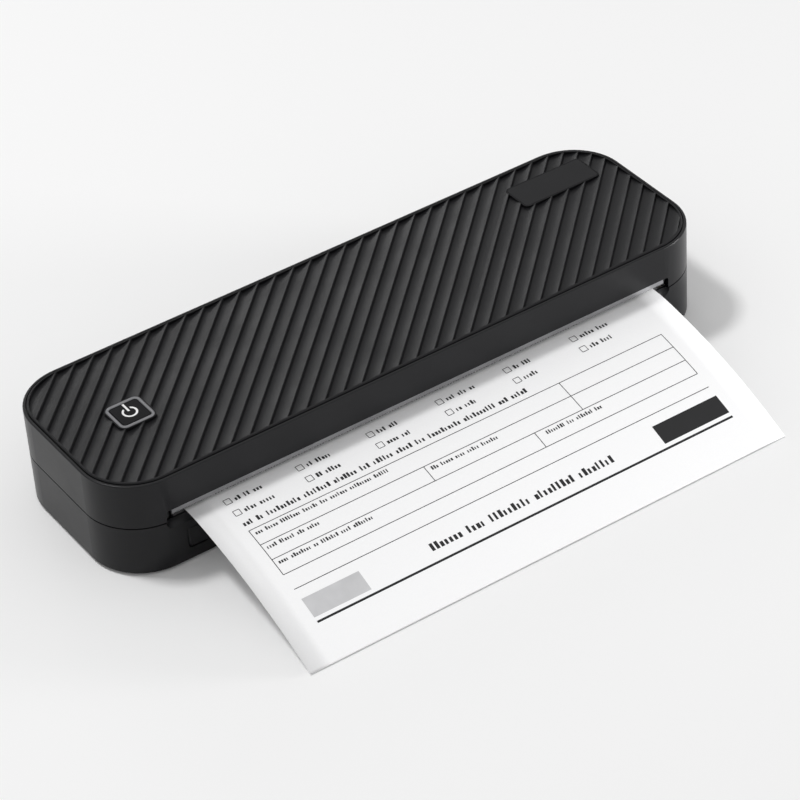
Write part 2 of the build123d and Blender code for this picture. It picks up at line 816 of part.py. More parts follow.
# Tear bar: a folded strip with a toothed lower edge; its inner leg is screwed to the lid.
with BuildPart() as tear_bar:
    face_y = front_y + tear_inset
    leg_y = front_y + wall + tear_seat_gap
    step_low = slot_top - tear_end_gap - tear_sheet
    with BuildSketch(Plane.YZ.offset(-tear_half + tear_end_gap)):
        with BuildLine():
            Polyline(
                (face_y, tear_tip),
                (face_y + tear_sheet, tear_tip),
                (face_y + tear_sheet, step_low),
                (leg_y + tear_sheet, step_low),
                (leg_y + tear_sheet, tear_leg_top),
                (leg_y, tear_leg_top),
                (leg_y, step_low + tear_sheet),
                (face_y, step_low + tear_sheet),
                close=True,
            )
        make_face()
    extrude(amount=2 * (tear_half - tear_end_gap))
    teeth = int(2 * (tear_half - cut_over) / tooth_pitch)
    tooth_half = tooth_pitch / 2 - tear_seat_gap
    with BuildSketch(Plane.XZ.offset(-face_y + cut_over)):
        for tooth in range(teeth):
            gap_x = (tooth - (teeth - 1) / 2) * tooth_pitch
            with BuildLine():
                Polyline(
                    (gap_x - tooth_half, tear_tip - tear_end_gap),
                    (gap_x + tooth_half, tear_tip - tear_end_gap),
                    (gap_x, tear_tip + tooth_depth),
                    close=True,
                )
            make_face()
    extrude(amount=-(tear_sheet + 2 * cut_over), mode=Mode.SUBTRACT)
    for x in tear_screw_xs:
        with BuildSketch(Plane.XZ.offset(-leg_y)):
            with Locations((x, tear_screw_z)):
                Circle(screw_radius)
        extrude(amount=-tear_sheet, mode=Mode.SUBTRACT)
tear_bar.part.label = "tear_bar"
export_step(tear_bar.part, "parts/tear_bar.step")

# Paper sheet: flat from the roll to just past the slot, then drooping to the table.
with BuildPart() as paper_sheet:
    with BuildLine(Plane.YZ.offset(paper_x)) as web_path:
        flat = Line((bin_y, web_height), (front_y - lip_out, web_height))
        lip = JernArc(flat @ 1, (-1, 0), lip_radius, lip_angle)
        JernArc(lip @ 1, lip % 1, droop_radius, droop_angle)
    with BuildSketch(Plane(origin=(paper_x, bin_y, web_height), x_dir=(1, 0, 0), z_dir=(0, -1, 0))):
        Rectangle(paper_width, paper_thickness)
    sweep(path=web_path.line)
paper_sheet.part.label = "paper_sheet"
export_step(paper_sheet.part, "parts/paper_sheet.step")

# Paper roll, partly used, on its card core.
with BuildPart() as paper_roll:
    rod_along_x(paper_left, paper_right, bin_y, roll_z, roll_radius)
    rod_along_x(paper_left, paper_right, bin_y, roll_z, core_radius, Mode.SUBTRACT)
paper_roll.part.label = "paper_roll"
export_step(paper_roll.part, "parts/paper_roll.step")

with BuildPart() as roll_core:
    rod_along_x(paper_left, paper_right, bin_y, roll_z, core_radius)
    rod_along_x(paper_left, paper_right, bin_y, roll_z, core_radius - core_wall, Mode.SUBTRACT)
roll_core.part.label = "roll_core"
export_step(roll_core.part, "parts/roll_core.step")

# Paper bin: a half-round trough between the side frames.
with BuildPart() as paper_bin:
    with BuildSketch(Plane.YZ.offset(-frame_inner)):
        with Locations((bin_y, bin_z)):
            Circle(bin_radius + bin_sheet)
            Circle(bin_radius, mode=Mode.SUBTRACT)
        with Locations((bin_y, bin_z + bin_radius + bin_sheet)):
            Rectangle(3 * bin_radius, 2 * (bin_radius + bin_sheet), mode=Mode.SUBTRACT)
        for side in (-1, 1):
            with Locations((bin_y + side * (bin_radius + bin_sheet / 2), (bin_z + frame_top) / 2)):
                Rectangle(bin_sheet, frame_top - bin_z)
    extrude(amount=2 * frame_inner)
paper_bin.part.label = "paper_bin"
export_step(paper_bin.part, "parts/paper_bin.step")

# Paper guide: the deck between bin and platen, with ribs along the paper's way.
guide_front = platen_y + platen_radius + guide_gap
guide_rear = bin_y - bin_radius - bin_sheet
guide_low = guide_top - guide_rib - guide_sheet
sensor_y = guide_front + sensor_half_length + sensor_half_width
with BuildPart() as paper_guide:
    box_between((-frame_inner, frame_inner), (guide_front, guide_rear), (guide_low, guide_low + guide_sheet))
    for rib in range(guide_rib_count):
        rib_x = (rib - (guide_rib_count - 1) / 2) * guide_rib_pitch
        box_between(
            (rib_x - guide_rib_half, rib_x + guide_rib_half),
            (guide_front + guide_rib_end, guide_rear - guide_rib_end),
            (guide_low + guide_sheet, guide_top),
        )
    box_between(
        (-frame_inner, frame_inner),
        (guide_front, guide_front + guide_sheet),
        (guide_low - guide_lip, guide_low),
    )
    box_between(
        (sensor_x - sensor_half_length - sensor_gap, sensor_x + sensor_half_length + sensor_gap),
        (sensor_y - sensor_half_width - sensor_gap, sensor_y + sensor_half_width + sensor_gap),
        (guide_low, guide_top),
        Mode.SUBTRACT,
    )
paper_guide.part.label = "paper_guide"
export_step(paper_guide.part, "parts/paper_guide.step")

# Front guide: the rounded lip between the platen and the slot.
with BuildPart() as front_guide:
    lip_front = front_y + wall + seat_gap
    lip_rear = platen_y - platen_radius - guide_gap
    with BuildSketch(Plane.YZ.offset(-frame_inner)):
        with BuildLine():
            Polyline(
                (lip_front, guide_top),
                (lip_rear, guide_top),
                (lip_rear, guide_top - lip_depth),
                (lip_front, guide_top - lip_depth),
                close=True,
            )
        make_face()
    extrude(amount=2 * frame_inner)
    fillet(front_guide.edges().filter_by(Axis.X).group_by(Axis.Z)[-1], radius=lip_round)
front_guide.part.label = "front_guide"
export_step(front_guide.part, "parts/front_guide.step")

# Paper sensor: a reflective sensor that looks up through the guide.
with BuildPart() as paper_sensor:
    sensor_span = (sensor_y - sensor_half_width, sensor_y + sensor_half_width)
    sensor_low = guide_low - sensor_drop
    box_between(
        (sensor_x - sensor_half_length, sensor_x + sensor_half_length),
        sensor_span,
        (sensor_low, guide_top - sensor_gap),
    )
    box_between(
        (sensor_x - sensor_half_length - sensor_flange, sensor_x + sensor_half_length + sensor_flange),
        sensor_span,
        (sensor_low, guide_low),
    )
paper_sensor.part.label = "paper_sensor"
export_step(paper_sensor.part, "parts/paper_sensor.step")

# === Side frames =====================================================================


def side_frame(side):
    """One sheet-metal side frame with its foot, seen from inside the machine."""
    start = frame_inner if side > 0 else -frame_outer
    with BuildPart() as frame:
        box_between((start, start + frame_sheet), (-frame_front, frame_rear), (floor_top, frame_top))
        # open slot that the platen's bush drops into
        rod_along_x(start, start + frame_sheet, platen_y, platen_z, bush_radius, Mode.SUBTRACT)
        box_between(
            (start, start + frame_sheet),
            (platen_y - bush_radius, platen_y + bush_radius),
            (platen_z, frame_top),
            Mode.SUBTRACT,
        )
        # gate for the latch bar
        box_between(
            (start, start + frame_sheet),
            (
                latch_bar_y - latch_bar_width / 2 - gate_gap,
                latch_bar_y + latch_bar_width / 2 + button_travel + gate_gap,
            ),
            (floor_top, latch_bar_high + gate_gap),
            Mode.SUBTRACT,
        )
        # foot with its screw holes
        foot_start = frame_outer if side > 0 else -frame_outer - frame_foot
        box_between(
            (min(foot_start, start), max(foot_start + frame_foot, start + frame_sheet)),
            (frame_screw_ys[0] - frame_foot_end, frame_screw_ys[-1] + frame_foot_end),
            (frame_foot_low, frame_foot_low + frame_sheet),
        )
        for y in frame_screw_ys:
            with BuildSketch(Plane.XY.offset(frame_foot_low)):
                with Locations((side * frame_screw_x, y)):
                    Circle(screw_radius)
            extrude(amount=frame_sheet, mode=Mode.SUBTRACT)
    return frame


with BuildPart() as side_frame_left:
    add(side_frame(-1).part)
    box_between(
        (-frame_outer - frame_foot, -frame_inner),
        (main_board_front - board_gap, main_board_rear + board_gap),
        (floor_top, board_top + board_headroom),
        Mode.SUBTRACT,
    )
side_frame_left.part.label = "side_frame_left"
export_step(side_frame_left.part, "parts/side_frame_left.step")

with BuildPart() as side_frame_right:
    add(side_frame(1).part)
    rod_along_x(frame_inner, frame_outer, motor_y, idler_height, 2 * motor_shaft_radius, Mode.SUBTRACT)
    rod_along_x(frame_inner, frame_outer, idler_y, idler_height, idler_axle_radius, Mode.SUBTRACT)
    for y, z in motor_screws_at:
        rod_along_x(frame_inner, frame_outer, y, z, screw_radius, Mode.SUBTRACT)
side_frame_right.part.label = "side_frame_right"
export_step(side_frame_right.part, "parts/side_frame_right.step")

# Platen bushes: flanged rings that sit in the open slots of the frames.
with BuildPart() as platen_bushes:
    for side in (-1, 1):
        plate = (frame_inner, frame_outer) if side > 0 else (-frame_outer, -frame_inner)
        flange_end = frame_outer + bush_flange_sheet
        flange = (frame_outer, flange_end) if side > 0 else (-flange_end, -frame_outer)
        rod_along_x(plate[0], plate[1], platen_y, platen_z, bush_radius)
        rod_along_x(flange[0], flange[1], platen_y, platen_z, bush_flange)
    rod_along_x(-end_x, end_x, platen_y, platen_z, shaft_radius + run_gap, Mode.SUBTRACT)
platen_bushes.part.label = "platen_bushes"
export_step(platen_bushes.part, "parts/platen_bushes.step")

# === Platen and drive ================================================================

with BuildPart() as platen_shaft:
    rod_along_x(-frame_outer - shaft_out, gear_start + gear_face, platen_y, platen_z, shaft_radius)
    chamfer(platen_shaft.edges().filter_by(GeomType.CIRCLE), length=end_chamfer)
platen_shaft.part.label = "platen_shaft"
export_step(platen_shaft.part, "parts/platen_shaft.step")

with BuildPart() as platen_roller:
    rod_along_x(-platen_half, platen_half, platen_y, platen_z, platen_radius)
    chamfer(platen_roller.edges().filter_by(GeomType.CIRCLE), length=end_chamfer)
    rod_along_x(-platen_half, platen_half, platen_y, platen_z, shaft_radius, Mode.SUBTRACT)
platen_roller.part.label = "platen_roller"
export_step(platen_roller.part, "parts/platen_roller.step")

# Gears: the first tooth of the platen gear points at the idler, and each wheel that it
# drives has a gap there.
platen_to_idler = math.atan2(idler_height - platen_z, idler_y - platen_y)
idler_to_motor = 0.0
small_first_tooth = platen_to_idler + math.pi + math.pi / small_teeth
pinion_first_tooth = idler_to_motor + math.pi + math.pi / pinion_teeth

with BuildPart() as platen_gear:
    gear_disc(platen_teeth, fine_module, (platen_y, platen_z), platen_to_idler, gear_start, gear_face)
    rod_along_x(gear_start, gear_start + gear_face, platen_y, platen_z, shaft_radius, Mode.SUBTRACT)
platen_gear.part.label = "platen_gear"
export_step(platen_gear.part, "parts/platen_gear.step")

with BuildPart() as idler_gear:
    hub = (idler_y, idler_height)
    gear_disc(small_teeth, fine_module, hub, small_first_tooth, gear_start, big_start - gear_start)
    gear_disc(big_teeth, pinion_module, hub, idler_to_motor, big_start, big_end - big_start)
    rod_along_x(gear_start, big_end, idler_y, idler_height, idler_axle_radius + run_gap, Mode.SUBTRACT)
idler_gear.part.label = "idler_gear"
export_step(idler_gear.part, "parts/idler_gear.step")

with BuildPart() as motor_pinion:
    hub = (motor_y, idler_height)
    gear_disc(pinion_teeth, pinion_module, hub, pinion_first_tooth, big_start, big_end - big_start)
    rod_along_x(big_start, big_end, motor_y, idler_height, motor_shaft_radius, Mode.SUBTRACT)
motor_pinion.part.label = "motor_pinion"
export_step(motor_pinion.part, "parts/motor_pinion.step")

with BuildPart() as motor_shaft:
    rod_along_x(
        frame_inner - motor_length / 2, big_end + axle_end_gap, motor_y, idler_height, motor_shaft_radius
    )
motor_shaft.part.label = "motor_shaft"
export_step(motor_shaft.part, "parts/motor_shaft.step")

with BuildPart() as idler_axle:
    head_start = big_end + axle_end_gap
    rod_along_x(frame_inner, head_start, idler_y, idler_height, idler_axle_radius)
    rod_along_x(frame_outer, gear_start - axle_end_gap, idler_y, idler_height, axle_head_radius)
    rod_along_x(head_start, head_start + axle_head, idler_y, idler_height, axle_head_radius)
idler_axle.part.label = "idler_axle"
export_step(idler_axle.part, "parts/idler_axle.step")

# Motor: a round can with a flange that is held on the frame's inner face.
with BuildPart() as drive_motor:
    rod_along_x(frame_inner - motor_length, frame_inner, motor_y, idler_height, motor_radius)
    chamfer(drive_motor.faces().sort_by(Axis.X)[0].edges(), length=motor_bevel)
    with BuildSketch(Plane.YZ.offset(frame_inner - motor_flange)):
        with Locations((motor_y, idler_height)):
            SlotCenterToCenter(2 * math.sqrt(2) * motor_ear, motor_ear_width, rotation=-45)
    extrude(amount=motor_flange)
    for y, z in motor_screws_at:
        rod_along_x(frame_inner - motor_flange, frame_inner, y, z, screw_radius, Mode.SUBTRACT)
    rod_along_x(
        frame_inner - motor_length / 2, frame_inner, motor_y, idler_height, motor_shaft_radius + run_gap,
        Mode.SUBTRACT,
    )
    plug_start = frame_inner - motor_length + motor_bevel
    box_between(
        (plug_start, plug_start + motor_plug_length),
        (motor_y - motor_plug_length, motor_y + motor_plug_length),
        (idler_height - motor_radius, idler_height - motor_radius + motor_plug_height),
    )
drive_motor.part.label = "drive_motor"
export_step(drive_motor.part, "parts/drive_motor.step")

# === Print head ======================================================================

# Heat sink: a finned bar that carries the head, with a pin at each end.
with BuildPart() as heat_sink:
    sink_y = (platen_y - sink_front, platen_y + sink_rear)
    box_between((-head_half, head_half), sink_y, (sink_low, sink_top))
    fin_pitch = (sink_front + sink_rear) / (fin_count + 1)
    for fin in range(fin_count):
        fin_y = sink_y[0] + fin_pitch * (fin + 1)
        box_between(
            (-head_half, head_half),
            (fin_y - fin_gap / 2, fin_y + fin_gap / 2),
            (sink_top - fin_depth, sink_top),
            Mode.SUBTRACT,
        )
    for low, high in mirrored([(head_half, ear_end + pin_out)]):
        rod_along_x(low, high, head_pin_y, head_pin_z, head_pin_radius)
heat_sink.part.label = "heat_sink"
export_step(heat_sink.part, "parts/heat_sink.step")

# Thermal head: a thin substrate with a glazed bead over the platen's top line.
with BuildPart() as thermal_head:
    box_between(
        (-head_half, head_half),
        (platen_y - substrate_width / 2, platen_y + substrate_width / 2),
        (substrate_low, sink_low),
    )
    bead_front = (platen_y - bead_half, substrate_low)
    bead_rear = (platen_y + bead_half, substrate_low)
    with BuildSketch(Plane.YZ.offset(-head_half + bead_end)):
        with BuildLine():
            ThreePointArc(bead_front, (platen_y, bead_low), bead_rear)
            Line(bead_rear, bead_front)
        make_face()
    extrude(amount=2 * (head_half - bead_end))
thermal_head.part.label = "thermal_head"
export_step(thermal_head.part, "parts/thermal_head.step")

# Head bracket: a folded channel under the lid's roof, with an ear at each end.
with BuildPart() as head_bracket:
    front_flange = (sink_y[0] - head_side_gap - bracket_flange, sink_y[0] - head_side_gap)
    rear_flange = (sink_y[1] + head_side_gap, sink_y[1] + head_side_gap + bracket_flange)
    box_between((-ear_end, ear_end), (front_flange[0], rear_flange[1]), (bracket_low, bracket_top))
    for flange in (front_flange, rear_flange):
        box_between((-head_half, head_half), flange, (bracket_flange_low, bracket_low))
    for low, high in mirrored([(ear_start, ear_end)]):
        box_between(
            (low, high), (latch_pin_y - ear_width / 2, latch_pin_y + ear_width / 2), (ear_low, bracket_low)
        )
        rod_along_x(low, high, head_pin_y, head_pin_z, head_pin_radius + run_gap, Mode.SUBTRACT)
        box_between(
            (low, high),
            (head_pin_y - head_pin_radius - run_gap, head_pin_y + head_pin_radius + run_gap),
            (head_pin_z, head_pin_z + head_travel),
            Mode.SUBTRACT,
        )
        rod_along_x(low, high, head_pin_y, head_pin_z + head_travel, head_pin_radius + run_gap, Mode.SUBTRACT)
        rod_along_x(low, high, latch_pin_y, latch_pin_z, latch_pin_radius, Mode.SUBTRACT)
    for x, y in bracket_screws_at:
        with BuildSketch(Plane.XY.offset(bracket_low)):
            with Locations((x, y)):
                Circle(screw_radius)
        extrude(amount=bracket_sheet, mode=Mode.SUBTRACT)
    # clearance round the heads of the tear bar's screws
    for x in tear_screw_xs:
        with BuildSketch(Plane.XZ.offset(-front_flange[0])):
            with Locations((x, tear_screw_z)):
                Circle(screw_head_radius + head_clearance)
        extrude(amount=-bracket_flange, mode=Mode.SUBTRACT)
    # round off the two corners that stand in the case's own corners
    fillet(
        head_bracket.edges().filter_by(Axis.Z).group_by(Axis.X)[-1].sort_by(Axis.Y)[0:1]
        + head_bracket.edges().filter_by(Axis.Z).group_by(Axis.X)[0].sort_by(Axis.Y)[0:1],
        radius=bracket_corner,
    )
head_bracket.part.label = "head_bracket"
export_step(head_bracket.part, "parts/head_bracket.step")

with BuildPart() as latch_pins:
    for low, high in mirrored([(ear_start, hook_start + hook_sheet + pin_out)]):
        rod_along_x(low, high, latch_pin_y, latch_pin_z, latch_pin_radius)
latch_pins.part.label = "latch_pins"
export_step(latch_pins.part, "parts/latch_pins.step")

# Head springs: four coils between the bracket and the heat sink.
with BuildPart() as head_springs:
    end_space = spring_wire / 2 + coil_lift
    for x in spring_xs:
        seat = Plane(origin=(x, platen_y, sink_top + end_space))
        coil(seat, spring_radius, bracket_low - sink_top - 2 * end_space, spring_turns)
head_springs.part.label = "head_springs"
export_step(head_springs.part, "parts/head_springs.step")

# === Latch ===========================================================================

# Release button: a plate in the front wall with a flange behind it.
with BuildPart() as release_button:
    middle_z = (button_low + button_high) / 2
    with BuildSketch(Plane.XZ.offset(depth / 2)):
        with Locations((button_x, middle_z)):
            RectangleRounded(
                button_length - 2 * button_gap,
                button_high - button_low - 2 * button_gap,
                button_round - button_gap,
            )
    extrude(amount=-wall)
    chamfer(release_button.faces().sort_by(Axis.Y)[0].edges(), length=button_bevel)
    with BuildSketch(Plane.XZ.offset(depth / 2 - wall - run_gap)):
        with Locations((button_x, middle_z)):
            RectangleRounded(
                button_length + 2 * button_lip, button_high - button_low + 2 * button_lip, button_round
            )
    extrude(amount=-button_flange)
    # neck that joins the plate to its flange
    with BuildSketch(Plane.XZ.offset(depth / 2 - wall + run_gap)):
        with Locations((button_x, middle_z)):
            Rectangle(button_length - 2 * button_round, button_high - button_low - 2 * button_round)
    extrude(amount=-3 * run_gap)
    # stem that pushes the latch bar
    box_between(
        (button_x - button_stem_half, button_x + button_stem_half),
        (front_y + wall + button_flange, latch_bar_y - latch_bar_width / 2),
        (latch_bar_low, latch_bar_high),
    )
release_button.part.label = "release_button"
export_step(release_button.part, "parts/release_button.step")

# Latch bar: a bar across the base with a hook plate at each end. Each hook's nose
# reaches towards the pin on the lid.
hook_tip_y = latch_pin_y + latch_pin_radius + hook_gap
hook_front_y = hook_tip_y + hook_nose
with BuildPart() as latch_bar:
    bar_front = latch_bar_y - latch_bar_width / 2
    bar_rear = latch_bar_y + latch_bar_width / 2
    bar_end = hook_start + hook_sheet
    box_between((-bar_end, bar_end), (bar_front, bar_rear), (latch_bar_low, latch_bar_high))
    for start in (hook_start, -bar_end):
        with BuildSketch(Plane.YZ.offset(start)):
            with BuildLine():
                Polyline(
                    (bar_front, latch_bar_low),
                    (bar_rear, latch_bar_low),
                    (hook_front_y + hook_stem, latch_bar_high + hook_root_rear),
                    (hook_front_y + hook_stem, latch_pin_z + hook_head),
                    (hook_front_y + hook_crown, latch_pin_z + hook_head),
                    (hook_tip_y, latch_pin_z + hook_lead),
                    (hook_tip_y, latch_pin_z + hook_under),
                    (hook_front_y, latch_pin_z + hook_under),
                    (hook_front_y, latch_bar_high + hook_root_front),
                    (bar_front, latch_bar_high),
                    close=True,
                )
            make_face()
        extrude(amount=hook_sheet)
latch_bar.part.label = "latch_bar"
export_step(latch_bar.part, "parts/latch_bar.step")

# Latch springs: two coils between the bar and the posts on the floor.
with BuildPart() as latch_springs:
    spring_z = (latch_bar_low + latch_bar_high) / 2
    for x in (-latch_spring_x, latch_spring_x):
        seat = Plane(origin=(x, bar_rear + end_space, spring_z), z_dir=(0, 1, 0))
        coil(seat, latch_spring_radius, latch_spring_length - 2 * end_space, spring_turns)
latch_springs.part.label = "latch_springs"
export_step(latch_springs.part, "parts/latch_springs.step")

# Hinge pins: one through the knuckles of each hinge.
with BuildPart() as hinge_pins:
    for low, high in mirrored([(base_knuckles[0][0], base_knuckles[1][1])]):
        rod_along_x(low, high, hinge_y, seam_height, hinge_pin_radius)
hinge_pins.part.label = "hinge_pins"
export_step(hinge_pins.part, "parts/hinge_pins.step")

# === Electronics =====================================================================

with BuildPart() as main_board:
    box_between(
        (main_board_left, main_board_right),
        (main_board_front, main_board_rear),
        (floor_top + standoff, board_top),
    )
    for x, y in board_screws_at:
        with BuildSketch(Plane.XY.offset(floor_top + standoff)):
            with Locations((x, y)):
                Circle(screw_radius)
        extrude(amount=pcb, mode=Mode.SUBTRACT)
    for x, y, long, wide, tall in board_parts:
        box_between((x - long / 2, x + long / 2), (y - wide / 2, y + wide / 2), (board_top, board_top + tall))
    # plug that the ribbon leaves from
    box_between(
        (cable_x - cable_width / 2 - plug_border, cable_x + cable_width / 2 + plug_border),
        (cable_front - plug_length, cable_front),
        (board_top, board_top + plug_height),
    )
main_board.part.label = "main_board"
export_step(main_board.part, "parts/main_board.step")

with BuildPart() as board_screws:
    for x, y in board_screws_at:
        screw(Plane(origin=(x, y, board_top)), pcb + standoff)
board_screws.part.label = "board_screws"
export_step(board_screws.part, "parts/board_screws.step")

with BuildPart() as battery_pack:
    box_between(
        (battery_left, battery_right), (battery_front, battery_rear), (floor_top, floor_top + battery_height)
    )
    fillet(battery_pack.edges().filter_by(Axis.X), radius=battery_round)
battery_pack.part.label = "battery_pack"
export_step(battery_pack.part, "parts/battery_pack.step")

# Charging board and its socket behind the window in the right end.
usb_board_top = usb_height - usb_thick / 2
usb_face_x = end_x - wall + usb_proud
with BuildPart() as usb_board:
    board_end = end_x - wall - usb_board_gap
    box_between(
        (board_end - usb_board_length, board_end),
        (usb_y - usb_board_half, usb_y + usb_board_half),
        (usb_board_top - pcb, usb_board_top),
    )
    for y in (usb_y - usb_leg_y, usb_y + usb_leg_y):
        box_between(
            (board_end - usb_leg_from - 2 * usb_leg_half, board_end - usb_leg_from),
            (y - usb_leg_half, y + usb_leg_half),
            (floor_top, usb_board_top - pcb),
        )
    plug_end = usb_face_x - usb_depth - usb_gap
    box_between(
        (plug_end - usb_plug_length, plug_end),
        (usb_y - usb_plug_half, usb_y + usb_plug_half),
        (usb_board_top, usb_board_top + usb_plug_height),
    )
usb_board.part.label = "usb_board"
export_step(usb_board.part, "parts/usb_board.step")

with BuildPart() as usb_socket:
    with BuildSketch(Plane.YZ.offset(usb_face_x - usb_depth)):
        with Locations((usb_y, usb_height)):
            SlotOverall(usb_width, usb_thick)
    extrude(amount=usb_depth)
    with BuildSketch(Plane.YZ.offset(usb_face_x)):
        with Locations((usb_y, usb_height)):
            SlotOverall(usb_width - 2 * usb_shell, usb_thick - 2 * usb_shell)
    extrude(amount=-(usb_depth - usb_back), mode=Mode.SUBTRACT)
    # tongue inside the socket
    box_between(
        (usb_face_x - usb_depth, usb_face_x - usb_tongue_in),
        (usb_y - usb_tongue_half, usb_y + usb_tongue_half),
        (usb_height - usb_tongue / 2, usb_height + usb_tongue / 2),
    )
usb_socket.part.label = "usb_socket"
export_step(usb_socket.part, "parts/usb_socket.step")

# Head cable: a flat ribbon from the main board, past the hinge and along the lid's roof.
with BuildPart() as head_cable:
    cable_low = board_top + cable_above_board
    cable_high = roof_low - cable_under_roof
    with BuildLine(Plane.YZ.offset(cable_x)) as cable_path:
        FilletPolyline(
            (cable_front, cable_low),
            (cable_rise_y, cable_low),
            (cable_rise_y, cable_high),
            (cable_end_y, cable_high),
            radius=cable_bend,
        )
    with BuildSketch(Plane(origin=(cable_x, cable_front, cable_low), x_dir=(1, 0, 0), z_dir=(0, 1, 0))):
        Rectangle(cable_width, cable_thickness)
    sweep(path=cable_path.line)
head_cable.part.label = "head_cable"
export_step(head_cable.part, "parts/head_cable.step")

# Cable socket: on the lid's roof, where the ribbon meets the head's own leads.
with BuildPart() as cable_socket:
    box_between(
        (cable_x - cable_width / 2 - plug_border, cable_x + cable_width / 2 + plug_border),
        (cable_end_y - plug_length, cable_end_y),
        (roof_low - plug_height, roof_low),
    )
cable_socket.part.label = "cable_socket"
export_step(cable_socket.part, "parts/cable_socket.step")

# === Feet and screws =================================================================

with BuildPart() as rubber_feet:
    for x in (-foot_x, foot_x):
        for y in (-foot_y, foot_y):
            with BuildSketch():
                with Locations((x, y)):
                    Circle(foot_radius)
            extrude(amount=foot_proud + foot_seat)
rubber_feet.part.label = "rubber_feet"
export_step(rubber_feet.part, "parts/rubber_feet.step")

with BuildPart() as frame_screws:
    for x, y in frame_screws_at:
        screw(Plane(origin=(x, y, frame_foot_low + frame_sheet)), frame_sheet + frame_boss_height)
frame_screws.part.label = "frame_screws"
export_step(frame_screws.part, "parts/frame_screws.step")

with BuildPart() as bracket_screws:
    for x, y in bracket_screws_at:
        screw(Plane(origin=(x, y, bracket_low), z_dir=(0, 0, -1)), bracket_sheet + bracket_boss)
bracket_screws.part.label = "bracket_screws"
export_step(bracket_screws.part, "parts/bracket_screws.step")

with BuildPart() as tear_bar_screws:
    for x in tear_screw_xs:
        seat = Plane(origin=(x, leg_y + tear_sheet, tear_screw_z), z_dir=(0, 1, 0))
        screw(seat, tear_sheet + tear_screw_bite)
tear_bar_screws.part.label = "tear_bar_screws"
export_step(tear_bar_screws.part, "parts/tear_bar_screws.step")

with BuildPart() as motor_screws:
    for y, z in motor_screws_at:
        screw(Plane(origin=(frame_outer, y, z), z_dir=(1, 0, 0)), frame_sheet + motor_flange)
motor_screws.part.label = "motor_screws"
export_step(motor_screws.part, "parts/motor_screws.step")
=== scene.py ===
"""Finishes, fine pieces, light and camera for an A4 portable thermal printer.

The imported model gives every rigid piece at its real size. This script dresses those
pieces, and adds the fine ones: the sheet and its print, the tear bar's teeth, the coils,
the ribbon and the small electronic parts. Lengths are in metres where nothing else is said.

Frame: +X to the right along the length, -Y to the front where the paper leaves, +Z up.
"""

from __future__ import annotations

import logging
import math
from dataclasses import dataclass, field, replace
from enum import Enum
from typing import Iterable, Sequence

import bpy
import numpy as np
from mathutils import Matrix, Vector

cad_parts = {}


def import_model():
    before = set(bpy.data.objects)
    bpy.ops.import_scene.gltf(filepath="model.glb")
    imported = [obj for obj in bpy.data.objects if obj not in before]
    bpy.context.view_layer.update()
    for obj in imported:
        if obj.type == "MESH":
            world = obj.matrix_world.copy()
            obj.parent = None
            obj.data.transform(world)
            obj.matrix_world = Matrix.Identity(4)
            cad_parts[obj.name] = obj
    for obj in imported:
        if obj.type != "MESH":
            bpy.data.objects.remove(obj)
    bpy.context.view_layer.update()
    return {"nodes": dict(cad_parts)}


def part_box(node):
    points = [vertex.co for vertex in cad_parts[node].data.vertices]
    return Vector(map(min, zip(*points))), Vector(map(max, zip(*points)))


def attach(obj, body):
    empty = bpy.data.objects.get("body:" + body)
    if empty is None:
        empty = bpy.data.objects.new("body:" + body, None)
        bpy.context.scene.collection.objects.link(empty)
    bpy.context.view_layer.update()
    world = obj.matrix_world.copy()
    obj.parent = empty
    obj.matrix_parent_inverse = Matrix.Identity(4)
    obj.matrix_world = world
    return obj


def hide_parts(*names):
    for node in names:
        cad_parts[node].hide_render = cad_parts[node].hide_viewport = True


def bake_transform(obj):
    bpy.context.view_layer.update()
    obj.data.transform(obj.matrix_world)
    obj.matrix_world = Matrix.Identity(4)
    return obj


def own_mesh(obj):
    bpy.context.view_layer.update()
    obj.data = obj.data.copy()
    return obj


LOG = logging.getLogger("printer")
MM = 0.001

Colour = tuple[float, float, float]
Place = tuple[float, float, float]
Span = tuple[float, float]
Box = tuple[float, float, float, float]
Skin = tuple[np.ndarray, list[list[int]]]
Object = bpy.types.Object
Socket = bpy.types.NodeSocket

UNIT: Span = (0.0, 1.0)
WAVE: Span = (-1.0, 1.0)
NOISE_SPAN: Span = (0.3, 0.7)

# How a coil is wound: points on a turn, turns closed up at each end, and the share of its
# height that is left to the open turns between them.
COIL_STEPS = 28
COIL_CLOSED = 0.7
COIL_OPEN_RISE = 0.85


# --- Meshes from arrays ---------------------------------------------------------------


def grid_faces(rows: int, columns: int, round_columns: bool = False) -> np.ndarray:
    """Quads that join a grid of points, row by row.

    Args:
        rows: Number of rows of points.
        columns: Number of points in a row.
        round_columns: Whether the last point of a row joins the first.

    Returns:
        An array of four point numbers for each quad.
    """
    across = columns if round_columns else columns - 1
    row, column = np.meshgrid(np.arange(rows - 1), np.arange(across), indexing="ij")
    beside = (column + 1) % columns
    here = row * columns
    ahead = here + columns
    corners = [here + column, here + beside, ahead + beside, ahead + column]
    return np.stack(corners, -1).reshape(-1, 4)


def new_piece(
    name: str, points: np.ndarray, faces: Iterable[Sequence[int]], smooth: bool = True
) -> Object:
    """A mesh object at the origin, with its place in its points.

    Args:
        name: The piece's name.
        points: Points as an array of (n, 3), in metres.
        faces: Point numbers for each face.
        smooth: Whether the faces are shaded smooth.

    Returns:
        The new object, linked to the scene.
    """
    mesh = bpy.data.meshes.new(name)
    mesh.from_pydata(points.reshape(-1, 3).tolist(), [], [list(map(int, face)) for face in faces])
    mesh.update()
    mesh.polygons.foreach_set("use_smooth", np.full(len(mesh.polygons), smooth))
    piece = bpy.data.objects.new(name, mesh)
    bpy.context.scene.collection.objects.link(piece)
    return piece


